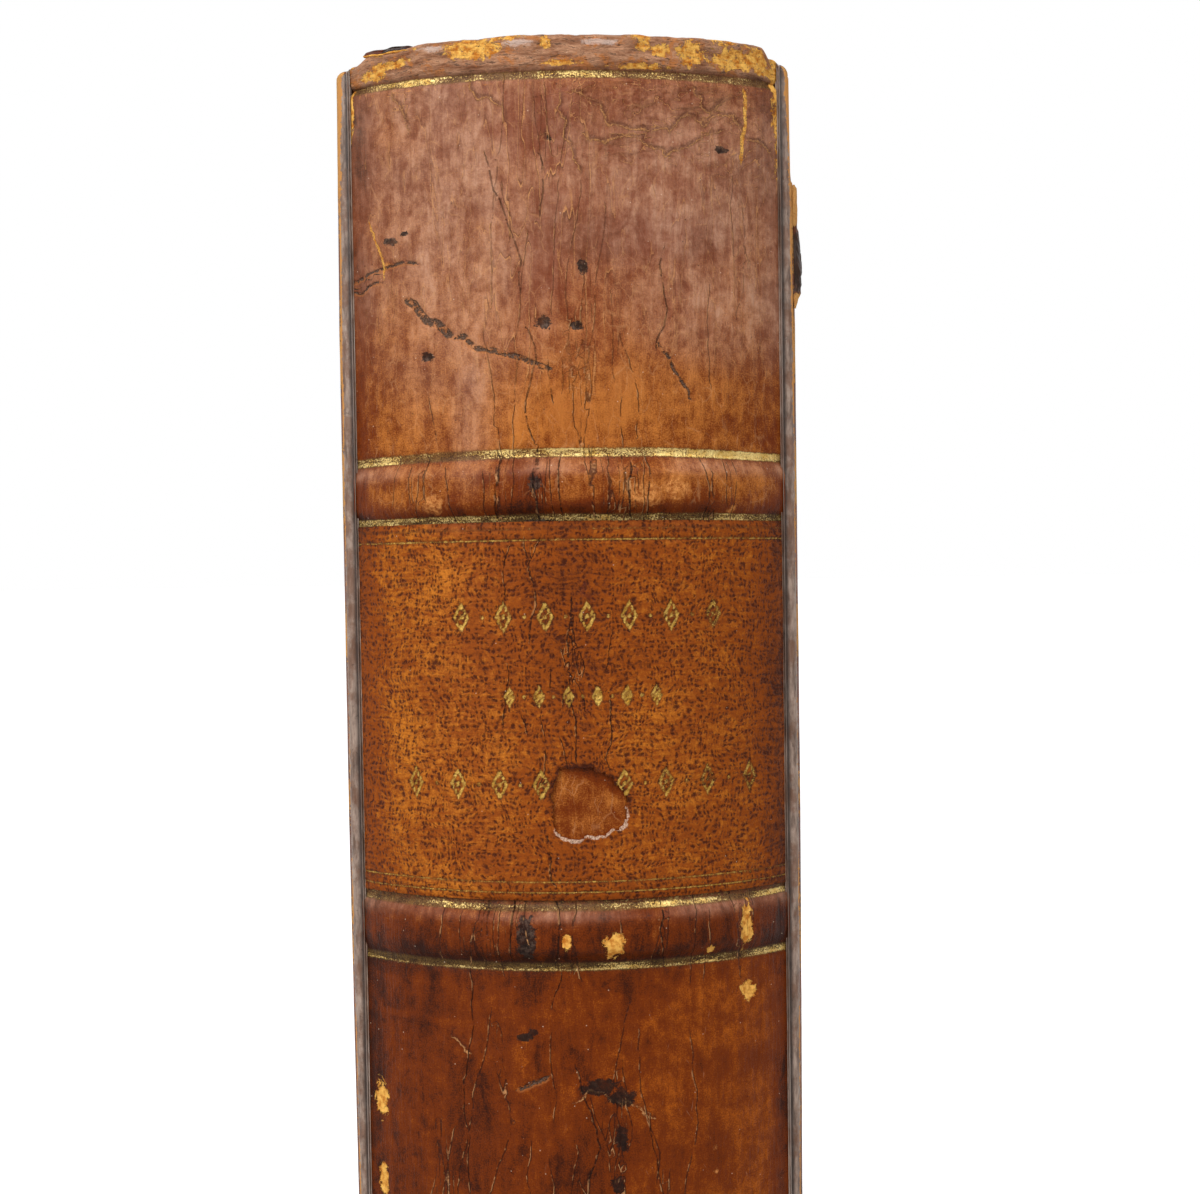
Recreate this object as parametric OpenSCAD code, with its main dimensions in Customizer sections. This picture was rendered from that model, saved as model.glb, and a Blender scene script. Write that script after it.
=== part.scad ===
// Antique octavo book in full calf, standing on its tail with the spine towards -Y.
// The back is rounded, with a hollow tube under the leather, four raised bands and a lettering-piece.

/* [Leaves] */
// Height of the trimmed leaves
leaf_h = 233; // [170:1:300]
// Width of the leaves from the joint to the fore-edge
leaf_w = 144.5; // [100:0.5:190]
// Thickness of the sewn leaves
leaves_t = 41.6; // [28:0.2:60]
// Depth of the hollow fore-edge at its middle
fore_hollow = 6; // [3:0.5:9]
// Thickness of the marbled free endpaper
flyleaf_t = 0.2; // [0.1:0.05:0.5]
// Distance from the joint to the endpaper's inner edge
flyleaf_inset = 1.2; // [0.5:0.1:3]

/* [Boards] */
// Thickness of the millboard
millboard_t = 2.8; // [1.6:0.1:4]
// Overhang of the boards past the leaves at head, tail and fore-edge
square_w = 3.5; // [2.5:0.1:6]
// Thickness of the leather over a board
board_leather_t = 0.8; // [0.5:0.05:1.2]
// Thickness of the pared turn-ins inside a board
turn_in_t = 0.4; // [0.2:0.05:0.8]
// Width of the turn-ins
turn_in_w = 14; // [8:0.5:22]
// Thickness of the pastedown
pastedown_t = 0.2; // [0.1:0.05:0.5]
// Leather that shows round the pastedown
pastedown_margin = 3; // [2:0.5:6]
// Rounding of a covered board's outer edges
board_edge_r = 1.2; // [0.9:0.1:1.6]
// Rounding of the corners at the fore-edge, bumped by use
board_corner_r = 3.5; // [2:0.5:6]
// Corners by the joint, cut off aslant to seat the caps: how far down the joint
back_cut_h = 2; // [1:0.1:3]
// The same cut's length along head or tail
back_cut_l = 11; // [6:0.5:16]
// Gap between a shoulder and the board's spine edge
joint_gap = 0.4; // [0.2:0.1:1]
// Gap between a closed board and the leaves
cover_gap = 0.2; // [0.1:0.05:0.5]

/* [Spine] */
// Distance that the crown stands out from the joints
spine_rise = 10; // [8:0.5:13]
// Step from a board's outer face down to the leather at the joint
joint_step = 1.7; // [1:0.1:2]
// Thickness of the leather over the spine
spine_leather_t = 0.9; // [0.6:0.05:1.3]
// Thickness of each wall of the paper tube
tube_wall = 0.25; // [0.15:0.05:0.4]
// Clear space inside the flattened tube
tube_gap = 0.6; // [0.5:0.05:1]
// Thickness of the linen lining
lining_t = 0.3; // [0.2:0.05:0.6]
// Width of each bare shoulder beside the lining, round the arc
shoulder_w = 2.6; // [1.5:0.1:5]
// Thickness of a line of paste between two curved layers
paste = 0.05; // [0.03:0.01:0.1]

/* [Raised bands] */
// Width of the strip under a band
band_w = 4.6; // [3:0.1:6]
// Height of a band over the panels at the crown
band_rise = 1.6; // [1:0.1:2.4]
// Rounding of a band's two long edges
band_edge_r = 0.8; // [0.4:0.1:0.9]
// Distance round the spine from the joint to the end of the strip under a band
band_end_gap = 5.6; // [4:0.1:9]

/* [Endcaps and endbands] */
// Height of the cap that stands above its tooled crease
cap_h = 4.2; // [4:0.1:6]
// Distance that the cap reaches in over the endband
cap_reach = 3.2; // [2.5:0.1:4]
// Thickness of the cap's lip
cap_lip_t = 0.9; // [0.6:0.1:1.1]
// Rounding of the cap's outer edge
cap_r = 0.8; // [0.5:0.1:0.8]
// Depth of the crease under the cap
crease_depth = 0.3; // [0.1:0.05:0.4]
// Length of the spine leather turned in inside the tube
spine_turn_in = 12; // [6:0.5:18]
// Thickness of that turned-in leather, which is pared
spine_turn_in_t = 0.5; // [0.3:0.05:0.5]
// Diameter of an endband's bead
endband_d = 2.1; // [1.4:0.1:2.2]
// Length of the cloth tongue that holds an endband to the spine
tongue_h = 7; // [4:0.5:12]

/* [Sewing] */
// Diameter of a cord
cord_d = 1.8; // [1.2:0.1:2.4]
// Distance of the outer cords from head and tail
cord_inset = 34; // [26:1:40]

/* [Lettering-piece] */
// Thickness of the lettering-piece
label_t = 0.35; // [0.2:0.05:0.6]
// Gap between the lettering-piece and the bands beside it
label_margin = 0.4; // [0.2:0.1:2]
// Mean radius of the patch that has worn off
worn_patch_r = 3.7; // [2:0.1:6]
// Height of the worn patch over the lettering-piece's foot
worn_patch_z = 10.6; // [8:0.1:30]

/* [Hidden] */
$fn = 120;
band_count = 4;
cord_count = 4;

// Heights
book_h = leaf_h + 2 * square_w;
leaf_z = square_w;
leaf_top = leaf_z + leaf_h;

// Layers across the book, from the middle out
leaves_x = leaves_t / 2;
board_in_x = leaves_x + flyleaf_t + cover_gap;
turn_in_x = board_in_x + pastedown_t;
core_in_x = turn_in_x + turn_in_t;
core_out_x = core_in_x + millboard_t;
board_out_x = core_out_x + board_leather_t;

// Places along the depth, with the origin in the middle of the box
depth = band_rise + spine_rise + leaf_w + square_w;
crown_y = band_rise - depth / 2;
joint_y = crown_y + spine_rise;
fore_y = joint_y + leaf_w;
board_y0 = joint_y + joint_gap;
board_y1 = fore_y + square_w;

// Spine radii about one upright axis, from the leather in
spine_half_w = board_out_x - joint_step;
spine_r = (pow(spine_half_w, 2) + pow(spine_rise, 2)) / (2 * spine_rise);
axis_y = crown_y + spine_r;
leather_in_r = spine_r - spine_leather_t;
tube_out_r = leather_in_r - paste;
tube_in_r = tube_out_r - 2 * tube_wall - tube_gap;
lining_out_r = tube_in_r - paste;
lining_in_r = lining_out_r - lining_t;
back_r = lining_in_r - paste;
flap_out_r = tube_out_r - tube_wall - paste;
flap_in_r = flap_out_r - spine_turn_in_t;
cap_fill_r = tube_in_r + paste;
crease_w = 2 * crease_depth;

// Half-angles of what lies round the spine
joint_angle = acos((spine_r - spine_rise) / tube_out_r);
seat_angle = joint_angle - arc_angle(shoulder_w, tube_out_r);
lining_angle = seat_angle - arc_angle(paste, tube_out_r);
flap_angle = lining_angle - arc_angle(tube_wall + paste, tube_out_r);
strip_angle = joint_angle - arc_angle(band_end_gap, tube_out_r);
sweep_angle = 65;

// Bands run on a tighter arc, so that they die away at the joints
band_half_w = spine_half_w + 0.2;
band_stand = spine_rise + band_rise;
band_r = (pow(band_half_w, 2) + pow(band_stand, 2)) / (2 * band_stand);
band_axis_y = joint_y + band_r - band_stand;
band_foot_w = band_w + 2 * spine_leather_t;
band_pitch = book_h / (band_count + 1);

// Fore-edge
fore_r = (pow(leaves_x, 2) + pow(fore_hollow, 2)) / (2 * fore_hollow);

// Lettering-piece, in the second panel from the head
label_z0 = band_z(band_count - 1) + band_foot_w / 2 + label_margin;
label_z1 = band_z(band_count) - band_foot_w / 2 - label_margin;
label_edge_y = joint_y - 0.5;
worn_patch_x = 1.6;

// Loss and lifted flake at the front board's head, by the joint
loss_foot = 15;
loss_depth = 0.4;
flake_depth = 6;
flake_out = [[0, 15], [0.35, 15.6], [0.45, 20], [0.8, 21.2], [0.95, 24.4], [0.7, 26.8], [0.3, 27.6], [0, 28.6]];
cut = 0.01;
big = 400;

function arc_angle(length, r) = length / r * 180 / PI;
function band_z(k) = k * band_pitch;
function cord_z(k) = leaf_z + cord_inset + (k - 1) * (leaf_h - 2 * cord_inset) / (cord_count - 1);
function arc_points(centre, r, from, to, steps = 5) =
    [for (i = [0:steps]) let (a = from + (to - from) * i / steps) centre + r * [cos(a), sin(a)]];

// Corners of a rectangle, each with its own rounding, from the low corner anticlockwise
function rounded_points(low, high, r) = concat(
    arc_points(low + r[0] * [1, 1], r[0], 180, 270),
    arc_points([high[0] - r[1], low[1] + r[1]], r[1], 270, 360),
    arc_points(high - r[2] * [1, 1], r[2], 0, 90),
    arc_points([low[0] + r[3], high[1] - r[3]], r[3], 90, 180)
);

// A board seen from its side: aslant at the two corners by the joint and rounded at the other two
function board_outline(low, high, r) = concat(
    [low + [0, back_cut_h], low + [back_cut_l, 0]],
    arc_points([high[0] - r, low[1] + r], r, 270, 360),
    arc_points(high - r * [1, 1], r, 0, 90),
    [[low[0] + back_cut_l, high[1]], [low[0], high[1] - back_cut_h]]
);

// A wedge of the plan that opens towards the spine
module wedge(half_angle) {
    reach = 3 * spine_r;
    translate([0, axis_y])
        polygon([[0, 0], reach * [-sin(half_angle), -cos(half_angle)], reach * [sin(half_angle), -cos(half_angle)]]);
}

// Part of a ring round the spine's axis, in plan
module ring_plan(inner, outer, half_angle) {
    intersection() {
        translate([0, axis_y])
            difference() {
                circle(r = outer);
                circle(r = inner);
            }
        wedge(half_angle);
    }
}

// Sweeps a profile of radius and height round the spine
module sweep(half_angle, centre_y = axis_y) {
    translate([0, centre_y, 0])
        rotate([0, 0, 270 - half_angle])
            rotate_extrude(angle = 2 * half_angle)
                children();
}

// Keeps what lies on the spine's side of a plane
module spine_side(y) {
    intersection() {
        children();
        translate([-big / 2, y - big, -big / 4])
            cube([big, big, 2 * big]);
    }
}

// Flips a head piece to the tail
module at_tail() {
    translate([0, 0, book_h])
        mirror([0, 0, 1])
            children();
}

// The sewn leaves: a rounded back with shoulders, kerfs for the cords, and a hollow fore-edge
module text_block() {
    color("#dccba4")
        difference() {
            translate([0, 0, leaf_z])
                linear_extrude(leaf_h)
                    leaves_plan();
            spine_side(joint_y)
                for (k = [1:cord_count])
                    sweep(sweep_angle)
                        translate([back_r - cord_d - paste, cord_z(k) - cord_d / 2 - paste])
                            square(cord_d + 2 * paste);
        }
}

module leaves_plan() {
    difference() {
        union() {
            translate([-leaves_x, joint_y - 1])
                square([2 * leaves_x, leaf_w + 1]);
            intersection() {
                translate([0, axis_y])
                    circle(r = tube_out_r);
                translate([-big / 2, joint_y - big])
                    square(big);
            }
        }
        ring_plan(back_r, spine_r + 2, seat_angle);
        translate([0, fore_y + fore_r - fore_hollow])
            circle(r = fore_r);
    }
}

// A marbled endpaper leaf on the front of the leaves
module flyleaf() {
    color("#8a6a50")
        translate([leaves_x, joint_y + flyleaf_inset, leaf_z])
            cube([flyleaf_t, leaf_w - flyleaf_inset, leaf_h]);
}

// A hemp cord let into its kerf
module sewing_cord(k) {
    color("#b8a070")
        spine_side(joint_y - paste)
            sweep(sweep_angle)
                translate([back_r - cord_d / 2, cord_z(k)])
                    circle(d = cord_d, $fn = 32);
}

module spine_lining() {
    color("#cfc4a8")
        translate([0, 0, leaf_z + tongue_h + paste])
            linear_extrude(leaf_h - 2 * (tongue_h + paste))
                ring_plan(lining_in_r, lining_out_r, lining_angle);
}

// A flattened paper tube, open at head and tail
module hollow_tube() {
    color("#9c8462")
        translate([0, 0, leaf_z])
            linear_extrude(leaf_h)
                difference() {
                    ring_plan(tube_in_r, tube_out_r, lining_angle);
                    ring_plan(tube_in_r + tube_wall, tube_out_r - tube_wall,
                        lining_angle - arc_angle(tube_wall, tube_out_r));
                }
}

// An endband at the head: a bead on the leaves with a tongue of cloth down the back
module endband() {
    bead = endband_d / 2;
    color("#2f5a5c")
        sweep(lining_angle)
            union() {
                translate([back_r - bead, leaf_top + bead])
                    circle(r = bead, $fn = 32);
                translate([lining_in_r - bead, leaf_top + bead / 2])
                    square([bead + lining_t, bead]);
                translate([lining_in_r, leaf_top - tongue_h])
                    square([lining_t, tongue_h + bead]);
            }
}

// A strip of card that shapes a raised band, on the tube
module band_strip(k) {
    color("#8d8472")
        intersection() {
            difference() {
                band_body(band_z(k), band_w - 2 * paste, band_r - spine_leather_t - paste, band_edge_r / 2);
                cylinder_at_axis(leather_in_r);
            }
            sweep(strip_angle)
                square([2 * spine_r, book_h]);
        }
}

// A ridge round the spine on the bands' own arc
module band_body(z, width, radius, edge_r) {
    depth_in = band_rise + 3 * spine_leather_t;
    sweep(sweep_angle, band_axis_y)
        polygon(concat(
            [[radius - depth_in, z - width / 2]],
            arc_points([radius - edge_r, z - width / 2 + edge_r], edge_r, -90, 0),
            arc_points([radius - edge_r, z + width / 2 - edge_r], edge_r, 0, 90),
            [[radius - depth_in, z + width / 2]]
        ));
}

module cylinder_at_axis(r) {
    translate([0, axis_y, -1])
        cylinder(h = book_h + 2, r = r);
}

// The leather over the spine, with its bands, caps and turn-ins
module spine_leather() {
    color("#8a4a20")
        union() {
            spine_side(joint_y)
                spine_skin();
            cap_turn_in();
            at_tail() cap_turn_in();
        }
}

module spine_skin() {
    difference() {
        union() {
            sweep(sweep_angle)
                skin_profile();
            for (k = [1:band_count])
                difference() {
                    band_body(band_z(k), band_foot_w, band_r, band_edge_r);
                    cylinder_at_axis(leather_in_r + spine_leather_t / 2);
                }
        }
        for (k = [1:band_count])
            intersection() {
                band_body(band_z(k), band_w, band_r - spine_leather_t, band_edge_r / 2);
                sweep(strip_angle + arc_angle(paste, spine_r))
                    square([2 * spine_r, book_h]);
            }
    }
}

// The spine's wall in section, with a crease and a cap rolled in over the endband at each end
module skin_profile() {
    tail = cap_outline();
    polygon(concat(tail, [for (i = [len(tail) - 1:-1:0]) [tail[i][0], book_h - tail[i][1]]]));
}

// A cap in section, as radius and distance from its end of the book
function cap_outline() = concat(
    [
        [spine_r, cap_h + crease_w],
        [spine_r - crease_depth, cap_h],
        [spine_r, cap_h - crease_w]
    ],
    arc_points([spine_r - cap_r, cap_r], cap_r, 0, -90),
    [
        [spine_r - cap_reach, cap_lip_t / 4],
        [spine_r - cap_reach, cap_lip_t],
        [cap_fill_r, cap_lip_t],
        [cap_fill_r, square_w - paste],
        [leather_in_r, square_w - paste]
    ]
);

// The pared flap that goes down inside the tube
module cap_turn_in() {
    sweep(flap_angle)
        translate([flap_in_r, leaf_top - spine_turn_in])
            square([spine_turn_in_t, spine_turn_in + square_w / 2]);
}

// A thin morocco piece, worn through low on its middle
module lettering_piece() {
    color("#b5641f")
        difference() {
            spine_side(label_edge_y)
                sweep(sweep_angle)
                    translate([spine_r + paste, label_z0])
                        square([label_t, label_z1 - label_z0]);
            translate([worn_patch_x, crown_y + spine_rise / 2, label_z0 + worn_patch_z])
                rotate([90, 0, 0])
                    linear_extrude(spine_rise)
                        worn_patch_plan();
        }
}

module worn_patch_plan() {
    polygon([for (a = [0:15:345]) worn_patch_r * (1 + 0.1 * sin(2 * a + 20) + 0.05 * sin(5 * a)) * [cos(a), sin(a)]]);
}

// Leather over a board, turned in at head, tail and fore-edge; at the joint it runs on to the spine
module board_leather() {
    color("#7d4220")
        difference() {
            covered_form();
            millboard_form();
            translate([turn_in_x - cut, board_y0 - cut, turn_in_w])
                cube([turn_in_t + cut, board_y1 - board_y0 - turn_in_w + cut, book_h - 2 * turn_in_w]);
        }
}

// The covered board's outer form, rounded in plan, in end view and at its corners
module covered_form() {
    inner_r = turn_in_t;
    intersection() {
        linear_extrude(book_h)
            polygon(rounded_points([turn_in_x, board_y0], [board_out_x, board_y1],
                [inner_r, board_edge_r, board_edge_r, inner_r]));
        translate([0, board_y1 + 1, 0])
            rotate([90, 0, 0])
                linear_extrude(board_y1 - board_y0 + 2)
                    polygon(rounded_points([turn_in_x, 0], [board_out_x, book_h],
                        [inner_r, board_edge_r, board_edge_r, inner_r]));
        face_prism(turn_in_x - 1, board_out_x + 1, 0, board_corner_r);
    }
}

module millboard_form() {
    face_prism(core_in_x, core_out_x, board_leather_t, board_corner_r - board_leather_t / 2);
}

// A prism through the book's side, inset from the covered board's outline
module face_prism(x0, x1, inset, corner_r) {
    translate([x0, 0, 0])
        rotate([90, 0, 90])
            linear_extrude(x1 - x0)
                polygon(board_outline([board_y0 + inset, inset], [board_y1 - inset, book_h - inset], corner_r));
}

module millboard() {
    color("#8b7355")
        millboard_form();
}

// Paper that levels the board between the turn-ins
module infill() {
    color("#c9b78f")
        translate([turn_in_x, board_y0, turn_in_w])
            cube([turn_in_t, board_y1 - board_y0 - turn_in_w, book_h - 2 * turn_in_w]);
}

module pastedown() {
    color("#8a6a50")
        translate([board_in_x, board_y0, pastedown_margin])
            cube([pastedown_t, board_y1 - board_y0 - pastedown_margin, book_h - 2 * pastedown_margin]);
}

// The front board's leather, with a loss at the head of the joint and a lifted flake below it
module front_leather() {
    color("#7d4220")
        union() {
            difference() {
                board_leather();
                translate([board_out_x - loss_depth, board_y0, book_h])
                    rotate([90, 0, 90])
                        linear_extrude(big)
                            polygon([[-1, -loss_foot], [2.5, 1 - loss_foot], [5, 3.5 - loss_foot],
                                [6.5, -7], [5, -4], [3, 1], [-1, 1]]);
            }
            translate([board_out_x, board_y0 + board_edge_r + flake_depth, book_h])
                rotate([90, 0, 0])
                    linear_extrude(flake_depth)
                        polygon([for (p = flake_out) [p[0] - (p[0] == 0 ? board_leather_t / 2 : 0), -p[1]]]);
        }
}

module on_back() {
    mirror([1, 0, 0])
        children();
}

text_block();
flyleaf();  // front_flyleaf
on_back() flyleaf();  // back_flyleaf
sewing_cord(1);  // sewing_cord_1
sewing_cord(2);  // sewing_cord_2
sewing_cord(3);  // sewing_cord_3
sewing_cord(4);  // sewing_cord_4
spine_lining();
hollow_tube();
endband();  // head_endband
at_tail() endband();  // tail_endband
band_strip(1);  // band_strip_1
band_strip(2);  // band_strip_2
band_strip(3);  // band_strip_3
band_strip(4);  // band_strip_4
spine_leather();
lettering_piece();
millboard();  // front_millboard
front_leather();
infill();  // front_infill
pastedown();  // front_pastedown
on_back() millboard();  // back_millboard
on_back() board_leather();  // back_leather
on_back() infill();  // back_infill
on_back() pastedown();  // back_pastedown
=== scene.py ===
"""Looks for an old leather-bound book that stands on its tail, seen on its spine."""

import math

import bmesh
import bpy
import numpy as np
from mathutils import Matrix, Vector


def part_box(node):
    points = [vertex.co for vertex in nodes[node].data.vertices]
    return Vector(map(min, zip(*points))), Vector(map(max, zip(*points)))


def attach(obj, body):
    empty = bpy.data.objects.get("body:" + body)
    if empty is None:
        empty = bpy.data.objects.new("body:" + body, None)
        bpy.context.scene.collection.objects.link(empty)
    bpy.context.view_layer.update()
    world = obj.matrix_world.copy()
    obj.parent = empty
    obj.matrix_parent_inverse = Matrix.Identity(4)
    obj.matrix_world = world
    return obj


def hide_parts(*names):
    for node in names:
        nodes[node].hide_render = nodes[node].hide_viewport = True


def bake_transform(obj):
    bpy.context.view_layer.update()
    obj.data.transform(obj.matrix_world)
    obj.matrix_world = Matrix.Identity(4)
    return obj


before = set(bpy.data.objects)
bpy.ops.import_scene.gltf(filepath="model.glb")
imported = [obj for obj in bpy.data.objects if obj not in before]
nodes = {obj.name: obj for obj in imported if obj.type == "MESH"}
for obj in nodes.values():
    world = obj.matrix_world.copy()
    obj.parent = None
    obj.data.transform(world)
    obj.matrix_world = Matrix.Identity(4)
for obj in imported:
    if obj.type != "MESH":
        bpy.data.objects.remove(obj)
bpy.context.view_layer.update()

# Sizes in millimetres, as the solids have them
MM = 0.001
BOOK_H = 240.0
LEAF_Z, LEAF_TOP = 3.5, 236.5
LEAVES_X = 20.8
LEAF_T, SECTION_T = 0.2, 2.6
FORE_HOLLOW = 6.0
BOARD_IN_X, BOARD_X = 21.4, -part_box("back_leather")[0].x / MM
COVER_T = 0.8
CORE_IN_X, CORE_OUT_X = 21.8, BOARD_X - COVER_T
EDGE_R, INNER_EDGE_R = 1.2, 0.4
CORNER_R, JOINT_CORNER_R, CORE_CORNER_R = 3.5, 0.8, 3.1
BOARD_Y0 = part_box("back_leather")[0].y / MM
BOARD_Y1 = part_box("back_leather")[1].y / MM
FORE_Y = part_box("text_block")[1].y / MM
JOINT_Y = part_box("spine_leather")[1].y / MM
TURN_IN = 14.0
SPINE_RISE, SPINE_HALF = 10.0, 23.7
SPINE_R = (SPINE_HALF**2 + SPINE_RISE**2) / (2 * SPINE_RISE)
SPINE_FOOT = SPINE_R - SPINE_RISE
CROWN_Y = JOINT_Y - SPINE_RISE
AXIS_Y = CROWN_Y + SPINE_R
LEATHER_T = 0.9
INNER_R = SPINE_R - LEATHER_T
CAP_FILL_R = 31.08
FLAP_R, FLAP_T, FLAP_ANGLE = 31.33, 0.5, math.radians(38.7)
CAP_R, CAP_REACH, CAP_LIP = 0.8, 3.2, 0.9
CREASE_Z = 4.2
BACK_R, KERF_R, TUBE_R = 30.63, 28.78, 32.13
KERF_HALF, KERF_MOUTH = 0.95, 0.96
ENDBAND_R0, ENDBAND_R1, BEAD_R, TONGUE = 30.68, 30.98, 1.05, 7.0
LINING_ANGLE, SEAT_ANGLE = math.radians(39.3), math.radians(39.4)
STRIP_ANGLE = math.radians(34.3)
BAND_ZS = (48.0, 96.0, 144.0, 192.0)
BAND_R, BAND_SHIFT = 30.42, 4.26
BAND_TOP, BAND_FOOT = 1.5, 3.4
STRIP_HALF = 2.3
CORD_ZS = (37.5, 92.5, 147.5, 202.5)
LABEL_Z0, LABEL_Z1 = 147.6, 188.4
LABEL_R0, LABEL_R1 = SPINE_R + 0.05, SPINE_R + 0.4
PATCH_X, PATCH_Z = 1.6, 158.2
BACK_CUT_H, BACK_CUT_L = 2.0, 11.0

# The photo's frame in pixels, and the camera that took it
PHOTO_W, PHOTO_H = 1200, 1194
PX_PER_MM = 9.37
FOCAL_PX = 2370.0
CAMERA_X, CAMERA_GAP, CAMERA_Z = 3.2, 253.0, 193.03
CAMERA_PITCH, CAMERA_ROLL = math.radians(2.9), math.radians(-0.86)


def camera_axes():
    """The camera's right, up and forward directions."""
    forward = Vector((0, math.cos(CAMERA_PITCH), -math.sin(CAMERA_PITCH)))
    level = Vector((1, 0, 0))
    upright = level.cross(forward)
    cos, sin = math.cos(CAMERA_ROLL), math.sin(CAMERA_ROLL)
    return cos * level + sin * upright, cos * upright - sin * level, forward


def on_spine(px, py):
    """The place on the unrolled spine, in millimetres across and up, that a pixel of the photo shows."""
    right, up, forward = camera_axes()
    ray = forward * FOCAL_PX + right * (px - PHOTO_W / 2) - up * (py - PHOTO_H / 2)
    eye_y = CROWN_Y - CAMERA_GAP - AXIS_Y
    a = ray.x**2 + ray.y**2
    b = CAMERA_X * ray.x + eye_y * ray.y
    c = CAMERA_X**2 + eye_y**2 - SPINE_R**2
    t = (-b - math.sqrt(max(b * b - a * c, 0))) / a
    x, y = CAMERA_X + ray.x * t, eye_y + ray.y * t
    return SPINE_R * math.atan2(x, -y), CAMERA_Z + ray.z * t


# Marks read off the photo, in its pixels. A line has its width in millimetres and its path.
DARK_CRACKS = [
    (0.10, [(485, 155), (500, 200), (512, 235), (520, 290)]),
    (0.08, [(540, 155), (543, 185), (540, 215)]),
    (0.10, [(528, 330), (530, 385), (533, 440)]),
    (0.08, [(548, 365), (550, 382), (552, 400)]),
    (0.10, [(664, 250), (668, 310), (656, 345)]),
    (0.09, [(498, 452), (500, 485), (497, 517)]),
    (0.14, [(537, 450), (535, 483), (539, 519)]),
    (0.08, [(560, 455), (562, 512)]),
    (0.09, [(628, 453), (626, 480), (630, 515)]),
    (0.07, [(645, 455), (647, 512)]),
    (0.07, [(700, 458), (703, 515)]),
    (0.04, [(470, 970), (472, 1015), (468, 1060), (463, 1080), (465, 1120), (470, 1190)]),
    (0.05, [(562, 975), (558, 990), (552, 1005)]),
    (0.09, [(577, 1070), (585, 1100), (597, 1130), (595, 1165), (588, 1200)]),
    (0.04, [(650, 1115), (654, 1150), (658, 1180)]),
    (0.08, [(515, 900), (513, 958)]),
    (0.10, [(556, 900), (560, 930), (556, 962)]),
    (0.08, [(660, 900), (662, 955)]),
]
GOUGES = [
    (0.75, [(408, 300), (420, 312), (436, 322), (450, 335)]),
    (0.40, [(450, 335), (475, 347), (500, 352), (520, 357), (548, 368)]),
    (0.16, [(660, 345), (675, 370), (690, 395)]),
    (0.12, [(355, 282), (370, 273), (385, 268), (415, 263)]),
    (0.10, [(356, 292), (368, 286), (380, 282)]),
    (0.30, [(520, 1089), (533, 1083), (546, 1078)]),
]
RAW_SCRATCHES = [
    (0.18, [(370, 225), (376, 243), (384, 275)]),
    (0.36, [(744, 93), (745, 110), (742, 140), (741, 160)]),
]
FLAKE_EDGES = [
    (0.07, [(575, 92), (590, 104), (605, 115), (620, 125), (650, 133), (670, 132),
            (695, 118), (705, 128), (725, 116)]),
    (0.06, [(585, 135), (598, 140), (612, 138), (640, 137), (652, 148), (668, 158), (690, 145), (720, 132)]),
    (0.07, [(725, 116), (738, 124), (745, 140), (768, 150)]),
    (0.05, [(560, 95), (566, 120), (572, 150), (579, 170)]),
    (0.06, [(694, 90), (700, 106), (712, 112), (722, 104)]),
    (0.05, [(392, 96), (402, 108), (408, 128)]),
    (0.05, [(470, 84), (478, 100), (500, 106)]),
    (0.12, [(577, 1102), (588, 1091), (600, 1092), (615, 1101), (640, 1107), (652, 1118)]),
    (0.10, [(455, 1038), (462, 1046), (468, 1052)]),
]
# Where the skin scales off at the head, in ovals as below
SCALES = [(650, 115, 70, 34), (735, 125, 40, 40), (590, 100, 30, 20), (405, 100, 14, 14)]
LABEL_CRACKS = [
    (0.12, [(524, 540), (530, 570), (536, 595), (530, 640)]),
    (0.08, [(572, 600), (570, 680), (576, 760)]),
    (0.12, [(548, 838), (552, 860), (555, 885)]),
    (0.07, [(610, 700), (612, 740), (608, 765)]),
]

# Ovals: middle and radii in the photo's pixels
DARK_SPOTS = [
    (390, 242, 7, 4), (405, 234, 4, 3), (516, 161, 2, 2), (549, 138, 3, 3), (583, 265, 5, 10),
    (427, 356, 6, 5), (543, 322, 8, 7), (575, 325, 8, 4), (536, 483, 6, 10), (529, 935, 9, 21),
    (523, 1037, 7, 4), (533, 1032, 5, 4), (600, 1088, 18, 8), (622, 1098, 14, 9), (622, 1140, 7, 13),
    (618, 1185, 7, 10), (722, 150, 9, 4), (536, 525, 20, 6),
]
RAW_CHIPS = [
    (567, 939, 4, 10), (613, 943, 10, 13), (743, 923, 6, 22), (709, 948, 4, 4), (748, 990, 7, 10),
    (382, 1098, 6, 18), (384, 1180, 4, 18), (472, 47, 28, 11), (545, 41, 5, 8), (645, 45, 8, 6),
    (660, 50, 9, 6), (690, 52, 11, 14), (735, 60, 26, 10), (757, 60, 9, 12), (765, 70, 10, 5),
    (372, 74, 12, 6), (388, 62, 20, 5), (640, 66, 30, 3), (560, 62, 20, 3), (350, 110, 3, 30),
]
# Pale rubs are wear, but the first three, along the headcap's top edge, are painted highlights
PALE_RUBS_AND_HIGHLIGHTS = [
    (432, 48, 14, 3), (517, 42, 18, 3), (600, 41, 18, 3), (437, 502, 10, 9), (640, 492, 16, 12),
    (672, 486, 14, 10), (730, 506, 4, 4), (715, 1148, 2, 3), (716, 1170, 2, 3), (388, 265, 4, 3),
]
PITS = [(583, 265, 6, 11), (427, 356, 6, 5), (543, 322, 8, 7), (575, 325, 8, 4)]
# Painted sheen: pale veils where the lamps' highlight falls on the upper panel
PAINTED_SHEEN_OVALS = [(455, 210, 60, 130), (470, 395, 16, 55), (690, 190, 110, 60), (430, 110, 50, 30), (730, 300, 60, 40)]
WARM = [
    (590, 410, 110, 40), (700, 485, 90, 28), (420, 500, 50, 20), (400, 1012, 24, 3), (444, 1021, 24, 3),
]
RED = [(575, 230, 60, 200), (640, 200, 90, 150), (545, 120, 90, 60)]
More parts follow.
